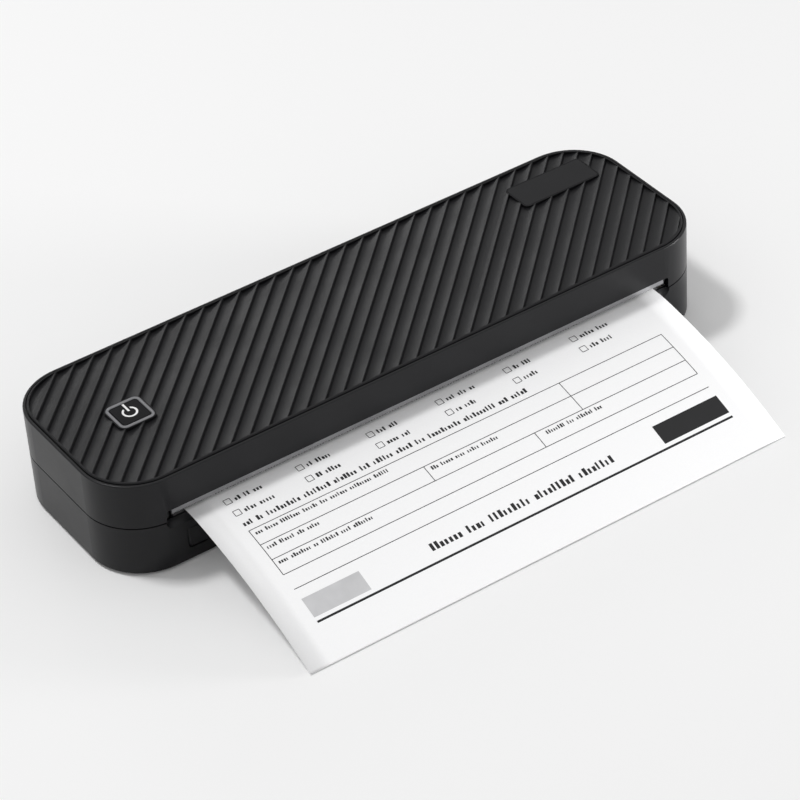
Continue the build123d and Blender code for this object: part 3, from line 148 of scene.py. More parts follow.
def carried_profile(stations: np.ndarray) -> Skin:
    """Closed skin of a profile carried along a path, with a flat cap at each end.

    Args:
        stations: Points as (stations, loop, 3). Each station is one closed loop.

    Returns:
        The points as (n, 3), and the faces.
    """
    count, loop = stations.shape[:2]
    faces = grid_faces(count, loop, round_columns=True).tolist()
    faces.append(list(range(loop))[::-1])
    faces.append(list(range((count - 1) * loop, count * loop)))
    return stations.reshape(-1, 3), faces


def face_outwards(piece: Object) -> None:
    """Turn a closed piece's faces outwards, going by the sign of its volume."""
    mesh = piece.data
    mesh.calc_loop_triangles()
    corners = np.empty(len(mesh.loop_triangles) * 3, dtype=np.int32)
    mesh.loop_triangles.foreach_get("vertices", corners)
    points = np.empty(len(mesh.vertices) * 3)
    mesh.vertices.foreach_get("co", points)
    triangles = points.reshape(-1, 3)[corners.reshape(-1, 3)]
    first, second, third = triangles.transpose(1, 0, 2)
    if np.einsum("ij,ij->i", first, np.cross(second, third)).sum() < 0:
        mesh.flip_normals()


def joined(parts: Iterable[Skin]) -> Skin:
    """Several skins as one list of points and faces."""
    points: list[np.ndarray] = []
    faces: list[list[int]] = []
    start = 0
    for part_points, part_faces in parts:
        points.append(part_points.reshape(-1, 3))
        faces.extend([[number + start for number in face] for face in part_faces])
        start += len(points[-1])
    return np.concatenate(points), faces


def block(low: Sequence[float], high: Sequence[float], round_off: float) -> Skin:
    """A small upright block with its top edges bevelled, for a part on a board.

    Args:
        low: Lowest corner.
        high: Highest corner.
        round_off: Width of the bevel round the top.

    Returns:
        The points and faces of its closed skin.
    """
    x0, y0, z0 = low
    x1, y1, z1 = high
    rings = []
    for inset, z in ((0.0, z0), (0.0, z1 - round_off), (round_off, z1)):
        left, right, front, rear = x0 + inset, x1 - inset, y0 + inset, y1 - inset
        rings.append([(left, front, z), (right, front, z), (right, rear, z), (left, rear, z)])
    return carried_profile(np.array(rings))


def coil_points(
    centre: Vector,
    along: Vector,
    length: float,
    radius: float,
    turns: float,
    wire: float,
    sides: int = 10,
) -> np.ndarray:
    """Stations of a round wire wound to a coil, with its end turns closed up.

    The middle line is radius * (cos a, sin a) round the axis, with a going through all
    the turns. A small share of its height rises evenly along the whole wire, and the rest
    only between the end turns, so that the coil sits nearly flat at both ends. At each
    point the wire's section is a circle in the plane of the outward direction and the axis.

    Args:
        centre: Point where the axis starts.
        along: Direction of the axis.
        length: Height over the whole coil.
        radius: Radius of the wire's middle line.
        turns: Number of turns.
        wire: Diameter of the wire.
        sides: Points round the wire.

    Returns:
        Points as (stations, sides, 3).
    """
    steps = int(turns * COIL_STEPS) + 1
    angle = np.linspace(0.0, 2 * math.pi * turns, steps)
    share = np.linspace(0.0, 1.0, steps)
    closed = COIL_CLOSED / turns
    rise = np.clip((share - closed) / (1 - 2 * closed), 0.0, 1.0)
    height = wire / 2 + (length - wire) * (COIL_OPEN_RISE * rise + (1 - COIL_OPEN_RISE) * share)
    axis = np.array(along.normalized())
    first = np.array(along.orthogonal().normalized())
    second = np.cross(axis, first)
    outward = np.cos(angle)[:, None] * first + np.sin(angle)[:, None] * second
    middle = np.array(centre) + radius * outward + height[:, None] * axis
    turn = np.linspace(0.0, 2 * math.pi, sides, endpoint=False)
    ring = np.cos(turn)[None, :, None] * outward[:, None, :] + np.sin(turn)[None, :, None] * axis
    return middle[:, None, :] + wire / 2 * ring


# --- Shader sheets --------------------------------------------------------------------


class NodeSheet:
    """The node tree of a material or the world, emptied and filled node by node."""

    def __init__(self, owner: bpy.types.Material | bpy.types.World) -> None:
        """Empty the tree."""
        owner.use_nodes = True
        self.tree = owner.node_tree
        self.tree.nodes.clear()

    def link(self, source: Socket, target: Socket) -> None:
        """Join two sockets."""
        self.tree.links.new(source, target)

    def node(self, kind: str, values: dict, **settings: str) -> bpy.types.Node:
        """A new node with its settings, and its inputs set or linked by name or number."""
        node = self.tree.nodes.new(kind)
        for key, value in settings.items():
            setattr(node, key, value)
        for key, value in values.items():
            if isinstance(value, Socket):
                self.link(value, node.inputs[key])
            else:
                node.inputs[key].default_value = value
        return node

    def ranged(self, value: Socket, source: Span, target: Span = UNIT) -> Socket:
        """A value carried from one range to another, held at its ends."""
        names = ("From Min", "From Max", "To Min", "To Max")
        values = {"Value": value, **dict(zip(names, (*source, *target)))}
        return self.node("ShaderNodeMapRange", values).outputs["Result"]

    def maths(self, kind: str, *values: Socket | float) -> Socket:
        """One step of arithmetic."""
        return self.node("ShaderNodeMath", dict(enumerate(values)), operation=kind).outputs[0]


class ShaderSheet(NodeSheet):
    """A new material's nodes, with the few kinds that the finishes need."""

    def __init__(self, name: str) -> None:
        """Start a material with a Principled shader on its output."""
        self.material = bpy.data.materials.new(name)
        super().__init__(self.material)
        self.shader = self.node("ShaderNodeBsdfPrincipled", {})
        self.node("ShaderNodeOutputMaterial", {"Surface": self.shader.outputs[0]})
        self.place = self.node("ShaderNodeTexCoord", {}).outputs["Object"]

    def stretched(self, scale: Sequence[float]) -> Socket:
        """Object coordinates, scaled by a Mapping node."""
        values = {"Vector": self.place, "Scale": scale}
        return self.node("ShaderNodeMapping", values).outputs["Vector"]

    def noise(
        self, size: float, detail: float = 3.0, vector: Socket | None = None, rough: float = 0.5
    ) -> Socket:
        """Noise whose lumps are about size metres across."""
        values = {"Vector": vector or self.place, "Scale": 1.0 / size}
        values |= {"Detail": detail, "Roughness": rough}
        return self.node("ShaderNodeTexNoise", values).outputs["Fac"]

    def cells(self, size: float) -> Socket:
        """Distance to the nearest cell point, with cells about size metres across."""
        values = {"Vector": self.place, "Scale": 1.0 / size}
        return self.node("ShaderNodeTexVoronoi", values).outputs["Distance"]

    def parts(self) -> tuple[Socket, Socket, Socket]:
        """The X, Y and Z of the object coordinates."""
        outputs = self.node("ShaderNodeSeparateXYZ", {"Vector": self.place}).outputs
        return outputs["X"], outputs["Y"], outputs["Z"]

    def mixed(self, share: Socket, first: Colour | Socket, second: Colour | Socket) -> Socket:
        """A colour between two, by share."""
        node = self.node("ShaderNodeMix", {}, data_type="RGBA")
        self.link(share, next(socket for socket in node.inputs if socket.name == "Factor"))
        colours = [socket for socket in node.inputs if socket.type == "RGBA"]
        for socket, colour in zip(colours, (first, second)):
            if isinstance(colour, Socket):
                self.link(colour, socket)
            else:
                socket.default_value = (*colour, 1.0)
        return next(socket for socket in node.outputs if socket.type == "RGBA")

    def bumped(self, height: Socket, depth: float, below: Socket | None = None) -> Socket:
        """A normal bent by a height from 0 to 1, whose full step is depth metres."""
        values: dict = {"Height": height, "Distance": depth, "Strength": 1.0}
        if below is not None:
            values["Normal"] = below
        return self.node("ShaderNodeBump", values).outputs["Normal"]


# --- Finishes -------------------------------------------------------------------------


@dataclass(frozen=True)
class Finish:
    """A plain moulded or machined surface: colour, gloss, fine grain and faint handling marks.

    Attributes:
        name: The material's name.
        colour: Base colour, linear.
        roughness: Middle roughness.
        metallic: 1 for bare metal.
        specular: The shader's specular level.
        coat: Weight of a clear coat.
        grain: Size of the surface grain in metres.
        grain_depth: Depth of that grain in metres.
        spread: How far the roughness varies over the handling marks.
        tone: How far the colour varies, as a share of it.
        cloud: Size of the colour's mottling.
        mark: Size of the handling marks.
        mark_span: The part of the marks' noise that is spread over the roughness.
        coat_roughness: Roughness of the clear coat.
    """

    name: str
    colour: Colour
    roughness: float = 0.5
    metallic: float = 0.0
    specular: float = 0.5
    coat: float = 0.0
    grain: float = 0.25 * MM
    grain_depth: float = 0.006 * MM
    spread: float = 0.06
    tone: float = 0.08
    cloud: float = 9 * MM
    mark: float = 22 * MM
    mark_span: Span = (0.35, 0.68)
    coat_roughness: float = 0.12

    def material(self) -> bpy.types.Material:
        """Build the finish as a node material."""
        sheet = ShaderSheet(self.name)
        sockets = sheet.shader.inputs
        sockets["Metallic"].default_value = self.metallic
        sockets["Specular IOR Level"].default_value = self.specular
        sockets["Coat Weight"].default_value = self.coat
        sockets["Coat Roughness"].default_value = self.coat_roughness
        sheet.link(self.base(sheet), sockets["Base Color"])
        sheet.link(self.gloss(sheet), sockets["Roughness"])
        sheet.link(self.relief(sheet), sockets["Normal"])
        return sheet.material

    @property
    def roughness_span(self) -> Span:
        """The lowest and the highest roughness."""
        return self.roughness - self.spread, self.roughness + self.spread

    def shade(self, factor: float) -> Colour:
        """The base colour, lighter or darker."""
        red, green, blue = self.colour
        return (min(1.0, red * factor), min(1.0, green * factor), min(1.0, blue * factor))

    def base(self, sheet: ShaderSheet) -> Socket:
        """Colour with a faint, soft mottling."""
        cloud = sheet.ranged(sheet.noise(self.cloud, 4.0), NOISE_SPAN)
        return sheet.mixed(cloud, self.shade(1.0 - self.tone), self.shade(1.0 + self.tone))

    def gloss(self, sheet: ShaderSheet) -> Socket:
        """Roughness with soft handling marks."""
        marks = sheet.noise(self.mark, 5.0, rough=0.62)
        return sheet.ranged(marks, self.mark_span, self.roughness_span)

    def relief(self, sheet: ShaderSheet) -> Socket:
        """Fine even grain."""
        return sheet.bumped(sheet.noise(self.grain, 2.0), self.grain_depth)


@dataclass(frozen=True)
class SparkTexture(Finish):
    """Moulded plastic from a spark-eroded tool: tiny pits over a fine grain.

    Attributes:
        pit: Size of a pit, in grains.
        pit_depth: Its depth, as a share of the grain's.
    """

    pit: float = 1.6
    pit_depth: float = 0.7

    def relief(self, sheet: ShaderSheet) -> Socket:
        """Pits from cell distances, on top of the grain."""
        pits = sheet.cells(self.pit * self.grain)
        return sheet.bumped(pits, self.pit_depth * self.grain_depth, super().relief(sheet))


@dataclass(frozen=True)
class DrawnMetal(Finish):
    """Sheet or bar whose grain runs along one axis.

    Attributes:
        stretch: How fast the grain changes along X, Y and Z.
    """

    metallic: float = 1.0
    stretch: Place = (0.03, 1.0, 1.0)

    def streaks(self, sheet: ShaderSheet) -> Socket:
        """Long thin streaks along the drawn direction."""
        return sheet.noise(self.grain, 4.0, sheet.stretched(self.stretch))

    def gloss(self, sheet: ShaderSheet) -> Socket:
        """Roughness that follows the streaks."""
        return sheet.ranged(self.streaks(sheet), NOISE_SPAN, self.roughness_span)

    def relief(self, sheet: ShaderSheet) -> Socket:
        """Scratches along the streaks."""
        return sheet.bumped(self.streaks(sheet), self.grain_depth)


@dataclass(frozen=True)
class PaperStock(Finish):
    """Coated paper or card: a smooth coat over short fibres.

    Attributes:
        fibre: Size of the fibre flecks.
        fibre_span: The part of the flecks' noise that shows.
    """

    fibre: float = 0.5 * MM
    fibre_span: Span = (0.35, 0.6)

    def base(self, sheet: ShaderSheet) -> Socket:
        """The colour, with fibre flecks a little darker."""
        fibres = sheet.ranged(sheet.noise(self.fibre, 6.0, rough=0.7), self.fibre_span)
        return sheet.mixed(fibres, self.shade(1.0 - self.tone), self.colour)


@dataclass(frozen=True)
class WoundPaper(PaperStock):
    """The roll: its ends show the windings as rings round its axis.

    Attributes:
        winding: Distance between two rings.
        waver: How many windings the noise can shift a ring.
        waver_size: Size of that noise.
        gap_shade: The colour between two rings, as a share of the paper's.
    """

    axis_y: float = 17.5 * MM
    axis_z: float = 13.275 * MM
    winding: float = 0.22 * MM
    waver: float = 1.2
    waver_size: float = 1.4 * MM
    gap_shade: float = 0.72

    def base(self, sheet: ShaderSheet) -> Socket:
        """Rings by distance from the axis, blurred a little by noise."""
        _, y, z = sheet.parts()
        squares = []
        for value, middle in ((y, self.axis_y), (z, self.axis_z)):
            off = sheet.maths("SUBTRACT", value, middle)
            squares.append(sheet.maths("MULTIPLY", off, off))
        radius = sheet.maths("SQRT", sheet.maths("ADD", *squares))
        turns = sheet.maths("DIVIDE", radius, self.winding)
        shift = sheet.maths("MULTIPLY", sheet.noise(self.waver_size), self.waver)
        uneven = sheet.maths("ADD", turns, shift)
        wave = sheet.maths("SINE", sheet.maths("MULTIPLY", uneven, 2 * math.pi))
        return sheet.mixed(sheet.ranged(wave, WAVE), self.shade(self.gap_shade), self.colour)


@dataclass(frozen=True)
class CircuitMask(Finish):
    """A green board: solder mask over copper tracks, and dark parts on both its faces.

    Attributes:
        board_top: Height of the board's own face, above which the parts stand.
        board_low: Height of its underside.
        part_colour: Colour of the moulded parts.
        patch: Size of a patch of tracks.
        bend: How far the wave of the tracks turns over one patch, in radians.
        track_span: The part of that wave from bare board to full track.
        track_shade: Colour over a track, in the board's own.
        clearance: How far off the board's faces the parts' colour starts.
    """

    colour: Colour = (0.012, 0.085, 0.04)
    roughness: float = 0.28
    grain_depth: float = 0.02 * MM
    board_top: float = 6.2 * MM
    board_low: float = 4.6 * MM
    part_colour: Colour = (0.018, 0.018, 0.02)
    patch: float = 3.4 * MM
    bend: float = 44.0
    track_span: Span = (0.2, 0.5)
    track_shade: float = 2.1
    clearance: float = 0.05 * MM

    def tracks(self, sheet: ShaderSheet) -> Socket:
        """Square-cornered tracks: the sine of the distance to square cells' points."""
        values = {"Vector": sheet.place, "Scale": 1.0 / self.patch, "Randomness": 0.85}
        patches = sheet.node("ShaderNodeTexVoronoi", values, distance="CHEBYCHEV")
        wave = sheet.maths("MULTIPLY", patches.outputs["Distance"], self.bend)
        return sheet.ranged(sheet.maths("SINE", wave), self.track_span)

    def off_board(self, sheet: ShaderSheet) -> Socket:
        """1 on what stands above the board's face or hangs below it."""
        _, _, z = sheet.parts()
        over = sheet.maths("GREATER_THAN", z, self.board_top + self.clearance)
        under = sheet.maths("LESS_THAN", z, self.board_low - self.clearance)
        return sheet.maths("MAXIMUM", over, under)

    def base(self, sheet: ShaderSheet) -> Socket:
        """Mask and tracks on the board, dark moulding on its parts."""
        board = sheet.mixed(self.tracks(sheet), self.colour, self.shade(self.track_shade))
        return sheet.mixed(self.off_board(sheet), board, self.part_colour)

    def relief(self, sheet: ShaderSheet) -> Socket:
        """Tracks stand a hair above the board."""
        return sheet.bumped(self.tracks(sheet), self.grain_depth)


@dataclass(frozen=True)
class RibbonStripes(Finish):
    """A flat ribbon: tinned conductors under a clear film, along its length.

    Attributes:
        edge_span: The part of the stripes' wave in which the colour changes.
    """

    pitch: float = 1.0 * MM
    conductor: Colour = (0.55, 0.55, 0.56)
    edge_span: Span = (-0.2, 0.2)

    def wave(self, sheet: ShaderSheet) -> Socket:
        """A sine across X, one turn for each conductor."""
        x, _, _ = sheet.parts()
        return sheet.maths("SINE", sheet.maths("MULTIPLY", x, 2 * math.pi / self.pitch))

    def base(self, sheet: ShaderSheet) -> Socket:
        """Stripes across X, with the conductor in half of each pitch."""
        stripes = sheet.ranged(self.wave(sheet), self.edge_span)
        return sheet.mixed(stripes, self.colour, self.conductor)

    def relief(self, sheet: ShaderSheet) -> Socket:
        """Each conductor raises the film a little."""
        return sheet.bumped(sheet.ranged(self.wave(sheet), WAVE), self.grain_depth)


@dataclass(frozen=True)
class ShrinkWrap(Finish):
    """Film shrunk round a pair of cells, with soft creases near its ends.

    Attributes:
        half_length: Half the film's length.
        smooth_part: Share of that half that stays nearly smooth.
        crease: Size of a crease.
        crease_span: Strength of the creases in the middle and at the ends.
    """

    middle_x: float = 37.0 * MM
    half_length: float = 41.0 * MM
    smooth_part: float = 0.8
    crease: float = 2.6 * MM
    crease_span: Span = (0.15, 1.0)

    def relief(self, sheet: ShaderSheet) -> Socket:
        """Creases that deepen towards both ends."""
        x, _, _ = sheet.parts()
        away = sheet.maths("ABSOLUTE", sheet.maths("SUBTRACT", x, self.middle_x))
        ends = (self.smooth_part * self.half_length, self.half_length)
        near_end = sheet.ranged(away, ends, self.crease_span)
        creases = sheet.noise(self.crease, 3.0, sheet.stretched((0.35, 1.0, 1.0)))
        return sheet.bumped(sheet.maths("MULTIPLY", creases, near_end), self.grain_depth)


CASE_BLACK = SparkTexture(
    "black_plastic", (0.006, 0.006, 0.007), roughness=0.33, specular=0.24,
    grain=0.22 * MM, grain_depth=0.003 * MM, spread=0.025,
)
RIBBED_BLACK = SparkTexture(
    "ribbed_plastic", (0.008, 0.008, 0.009), roughness=0.4, specular=0.16,
    grain=0.2 * MM, grain_depth=0.004 * MM, spread=0.04,
)
INNER_PLASTIC = SparkTexture(
    "inner_plastic", (0.035, 0.035, 0.037), grain=0.3 * MM, grain_depth=0.008 * MM
)
KEY_GLOSS = Finish(
    "key_gloss", (0.004, 0.004, 0.005), roughness=0.22, specular=0.12, grain_depth=0.001 * MM
)
SYMBOL_WHITE = Finish("symbol_white", (0.84, 0.84, 0.84), roughness=0.4, grain_depth=0.002 * MM)
HEAD_CERAMIC = Finish("head_ceramic", (0.56, 0.53, 0.44), roughness=0.22, grain_depth=0.001 * MM)
GEAR_PLASTIC = Finish("gear_plastic", (0.78, 0.75, 0.66), roughness=0.38, grain_depth=0.003 * MM)
PLATEN_RUBBER = Finish(
    "platen_rubber", (0.022, 0.022, 0.023), roughness=0.68, specular=0.35,
    grain=0.3 * MM, grain_depth=0.01 * MM,
)
FOOT_RUBBER = Finish(
    "foot_rubber", (0.03, 0.03, 0.03), roughness=0.8, specular=0.3,
    grain=0.4 * MM, grain_depth=0.015 * MM,
)
PRINT_BLACK = Finish(
    "print_black", (0.012, 0.012, 0.013), roughness=0.6, specular=0.3, grain_depth=0.001 * MM
)
PRINT_GREY = Finish(
    "print_grey", (0.56, 0.56, 0.57), roughness=0.6, specular=0.3, grain_depth=0.001 * MM
)
PART_BLACK = Finish(
    "part_black", (0.014, 0.014, 0.015), roughness=0.42, grain=0.15 * MM, grain_depth=0.004 * MM
)
PART_TAN = Finish("part_tan", (0.42, 0.3, 0.18), roughness=0.45, grain_depth=0.003 * MM)
PART_TIN = Finish(
    "part_tin", (0.66, 0.66, 0.67), roughness=0.28, metallic=1.0, grain_depth=0.003 * MM
)
PART_BRASS = Finish(
    "part_brass", (0.75, 0.56, 0.24), roughness=0.26, metallic=1.0, grain_depth=0.002 * MM
)
BEZEL_METAL = DrawnMetal(
    "bezel_metal", (0.25, 0.25, 0.26), roughness=0.32, grain=0.1 * MM, grain_depth=0.002 * MM
)
TEAR_STEEL = DrawnMetal(
    "tear_steel", (0.36, 0.36, 0.37), roughness=0.3, grain=0.12 * MM, grain_depth=0.003 * MM
)
FRAME_STEEL = DrawnMetal(
    "frame_steel", (0.56, 0.56, 0.57), roughness=0.34,
    grain=0.3 * MM, grain_depth=0.004 * MM, stretch=(1.0, 0.04, 1.0),
)
PIN_STEEL = DrawnMetal(
    "pin_steel", (0.62, 0.62, 0.63), roughness=0.2, grain=0.12 * MM, grain_depth=0.001 * MM
)
SINK_ALUMINIUM = DrawnMetal(
    "sink_aluminium", (0.72, 0.72, 0.74), roughness=0.36, grain=0.2 * MM, grain_depth=0.004 * MM
)
MAIN_MASK = CircuitMask("board_green")
USB_MASK = CircuitMask("charging_board_mask", board_top=7.85 * MM, board_low=6.25 * MM)
KEY_MASK = CircuitMask("key_board_mask", board_top=37.0 * MM, board_low=36.0 * MM)
BATTERY_WRAP = ShrinkWrap(
    "battery_wrap", (0.022, 0.1, 0.32), roughness=0.24, coat=0.3, grain_depth=0.25 * MM
)
RIBBON_WHITE = RibbonStripes(
    "cable_white", (0.78, 0.78, 0.75), roughness=0.3, coat=0.3, grain_depth=0.05 * MM
)
SHEET_PAPER = PaperStock(
    "thermal_paper", (0.93, 0.93, 0.935), roughness=0.55, specular=0.35,
    grain_depth=0.004 * MM, tone=0.025,
)
ROLL_PAPER = WoundPaper("wound_paper", (0.9, 0.9, 0.895), roughness=0.6, specular=0.35, tone=0.05)
CORE_CARD = PaperStock(
    "core_card", (0.36, 0.27, 0.17), roughness=0.8, specular=0.3,
    grain=0.5 * MM, grain_depth=0.03 * MM, tone=0.2,
)

DRESSED: tuple[tuple[Finish, str], ...] = (
    (CASE_BLACK, "lower_shell upper_shell release_button"),
    (RIBBED_BLACK, "top_panel name_pad"),
    (KEY_GLOSS, "power_key"),
    (BEZEL_METAL, "key_bezel"),
    (SYMBOL_WHITE, "key_symbol"),
    (FRAME_STEEL, "head_bracket side_frame_left side_frame_right latch_bar usb_socket"),
    (SINK_ALUMINIUM, "drive_motor heat_sink"),
    (PIN_STEEL, "tear_bar_screws bracket_screws frame_screws board_screws motor_screws"),
    (PIN_STEEL, "latch_pins hinge_pins platen_shaft motor_shaft idler_axle"),
    (HEAD_CERAMIC, "thermal_head"),
    (PLATEN_RUBBER, "platen_roller"),
    (GEAR_PLASTIC, "platen_bushes platen_gear idler_gear"),
    (PART_BRASS, "motor_pinion"),
    (INNER_PLASTIC, "paper_bin paper_guide front_guide"),
    (PART_BLACK, "paper_sensor"),
    (PART_TAN, "cable_socket"),
    (MAIN_MASK, "main_board"),
    (USB_MASK, "usb_board"),
    (KEY_MASK, "key_board"),
    (BATTERY_WRAP, "battery_pack"),
    (FOOT_RUBBER, "rubber_feet"),
    (ROLL_PAPER, "paper_roll"),
    (CORE_CARD, "roll_core"),
)
NODE_FINISHES = {name: finish for finish, names in DRESSED for name in names.split()}


class FinishShelf:
    """Builds each finish once, and dresses pieces with it."""

    def __init__(self) -> None:
        """Start with no material built."""
        self.built: dict[str, bpy.types.Material] = {}

    def get(self, finish: Finish) -> bpy.types.Material:
        """The material of a finish, built the first time it is asked for."""
        if finish.name not in self.built:
            self.built[finish.name] = finish.material()
        return self.built[finish.name]

    def dress(self, piece: Object, finish: Finish) -> None:
        """Give the whole of a piece one finish."""
        piece.data.materials.clear()
        piece.data.materials.append(self.get(finish))

    def closed_piece(self, name: str, skin: Skin, finish: Finish, smooth: bool = True) -> Object:
        """Make and dress a piece from a closed skin, with its faces outwards.

        Args:
            name: The piece's name.
            skin: Its points and faces.
            finish: Its finish.
            smooth: Whether its faces are shaded smooth.

        Returns:
            The new piece.
        """
        piece = new_piece(name, *skin, smooth=smooth)
        face_outwards(piece)
        self.dress(piece, finish)
        return piece

    def dress_nodes(self, nodes: dict[str, Object]) -> None:
        """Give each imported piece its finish, but for those that fine pieces replace."""
        for name, piece in nodes.items():
            if name in NODE_FINISHES:
                self.dress(piece, NODE_FINISHES[name])
        LOG.info("dressed %d packed pieces", len(nodes))


# --- The sheet and its print ----------------------------------------------------------


@dataclass
class PrintedSheet:
    """The sheet in the slot, with its print.

    The middle line lies flat from the roll to just past the slot, then bends down in two
    arcs, one after the other. A point on it is a function of the distance s along it: on
    each arc it is the arc's start plus the radius times the sine and one less the cosine
    of the turned angle.

    Attributes:
        width: Width of the sheet.
        thickness: Thickness of the paper.
        middle_x: Middle of the sheet along X.
        start_y: Where the sheet leaves the roll.
        height: Height of the flat stretch.
        lip_y: Where the first arc starts.
        arcs: Radius and turned angle of each arc, in degrees.
        lift: How far the print stands off the paper.
        print_step: Distance between two rows of points of a mark, at most.
    """

    shelf: FinishShelf
    width: float = 210.0 * MM
    thickness: float = 0.12 * MM
    middle_x: float = 1.0 * MM
    start_y: float = 17.5 * MM
    height: float = 22.9 * MM
    lip_y: float = -40.75 * MM
    arcs: tuple[Span, Span] = ((40.0 * MM, 8.0), (231.0 * MM, 18.5))
    lift: float = 0.02 * MM
    flat_rows: int = 20
    bent_rows: int = 90
    columns: int = 25
    print_step: float = 2.0 * MM

    @property
    def flat_length(self) -> float:
        """Length of the flat stretch."""
        return self.start_y - self.lip_y

    @property
    def full_length(self) -> float:
        """Length of the whole sheet along its middle line."""
        return self.flat_length + sum(radius * math.radians(angle) for radius, angle in self.arcs)

    def line(self, s: np.ndarray) -> tuple[np.ndarray, np.ndarray, np.ndarray]:
        """The middle line at distances s.

        Args:
            s: Distances from the roll along the sheet.

        Returns:
            Y, Z and the turned angle at each distance.
        """
        y = self.start_y - np.minimum(s, self.flat_length)
        z = np.full_like(s, self.height)
        angle = np.zeros_like(s)
        begin, turned = self.flat_length, 0.0
        for radius, degrees in self.arcs:
            share = np.clip((s - begin) / radius, 0.0, math.radians(degrees))
            y -= radius * (np.sin(turned + share) - math.sin(turned))
            z -= radius * (math.cos(turned) - np.cos(turned + share))
            angle += share
            begin += radius * math.radians(degrees)
            turned += math.radians(degrees)
        return y, z, angle

    def place(self, across: np.ndarray, s: np.ndarray, off: float | np.ndarray) -> np.ndarray:
        """Points of the sheet, or off it along its normal.

        Args:
            across: Distances from the sheet's middle along X.
            s: Distances from the roll.
            off: How far above the middle line.

        Returns:
            Points as an array with a last axis of 3.
        """
        y, z, angle = self.line(s)
        x, y, z = self.middle_x + across, y - off * np.sin(angle), z + off * np.cos(angle)
        return np.stack(np.broadcast_arrays(x, y, z), axis=-1)

    def make_sheet(self) -> Object:
        """The paper as a thin closed skin: its section across X, carried along the line."""
        flat = np.linspace(0.0, self.flat_length, self.flat_rows)
        bent = np.linspace(self.flat_length, self.full_length, self.bent_rows)
        s = np.concatenate([flat, bent[1:]])
        across = np.linspace(-self.width / 2, self.width / 2, self.columns)
        loop_across = np.concatenate([across, across[::-1]])
        loop_off = np.repeat([self.thickness / 2, -self.thickness / 2], self.columns)
        stations = self.place(loop_across[None, :], s[:, None], loop_off[None, :])
        sheet = self.shelf.closed_piece("printed_sheet", carried_profile(stations), SHEET_PAPER)
        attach(sheet, "sheet")
        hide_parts("paper_sheet")
        return sheet

    def make_print(self) -> list[Object]:
        """The print as thin marks on the sheet: black ones and grey ones."""
        form = FormLayout()
        form.compose()
        made = []
        off = self.thickness / 2 + self.lift
        for name, ink, finish in (
            ("print_black", Ink.BLACK, PRINT_BLACK),
            ("print_grey", Ink.GREY, PRINT_GREY),
        ):
            parts = []
            for left, right, near, far in MM * np.array(form.marks[ink]):
                rows = max(2, int((far - near) / self.print_step) + 2)
                s = self.full_length - np.linspace(near, far, rows)
                across = np.array([left, right]) - self.width / 2
                points = self.place(across[None, :], s[:, None], off)
                parts.append((points.reshape(-1, 3), grid_faces(rows, 2).tolist()))
            piece = new_piece(name, *joined(parts))
            self.shelf.dress(piece, finish)
            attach(piece, "sheet")
            made.append(piece)
        return made

    def make(self) -> list[Object]:
        """Make the sheet and its print."""
        return [self.make_sheet(), *self.make_print()]


class Ink(Enum):
    """Which of the two print tones a mark has."""

    BLACK = "black"
    GREY = "grey"


@dataclass(frozen=True)
class WordLine:
    """A line of strokes grouped as words are, in millimetres from the sheet's corner.

    Attributes:
        left: Where it starts.
        right: Where it ends at the latest.
        near: Its lower edge.
        height: Height of the tallest stroke.
        longest: Number of strokes in the longest group.
    """

    left: float
    right: float
    near: float
    height: float
    longest: int


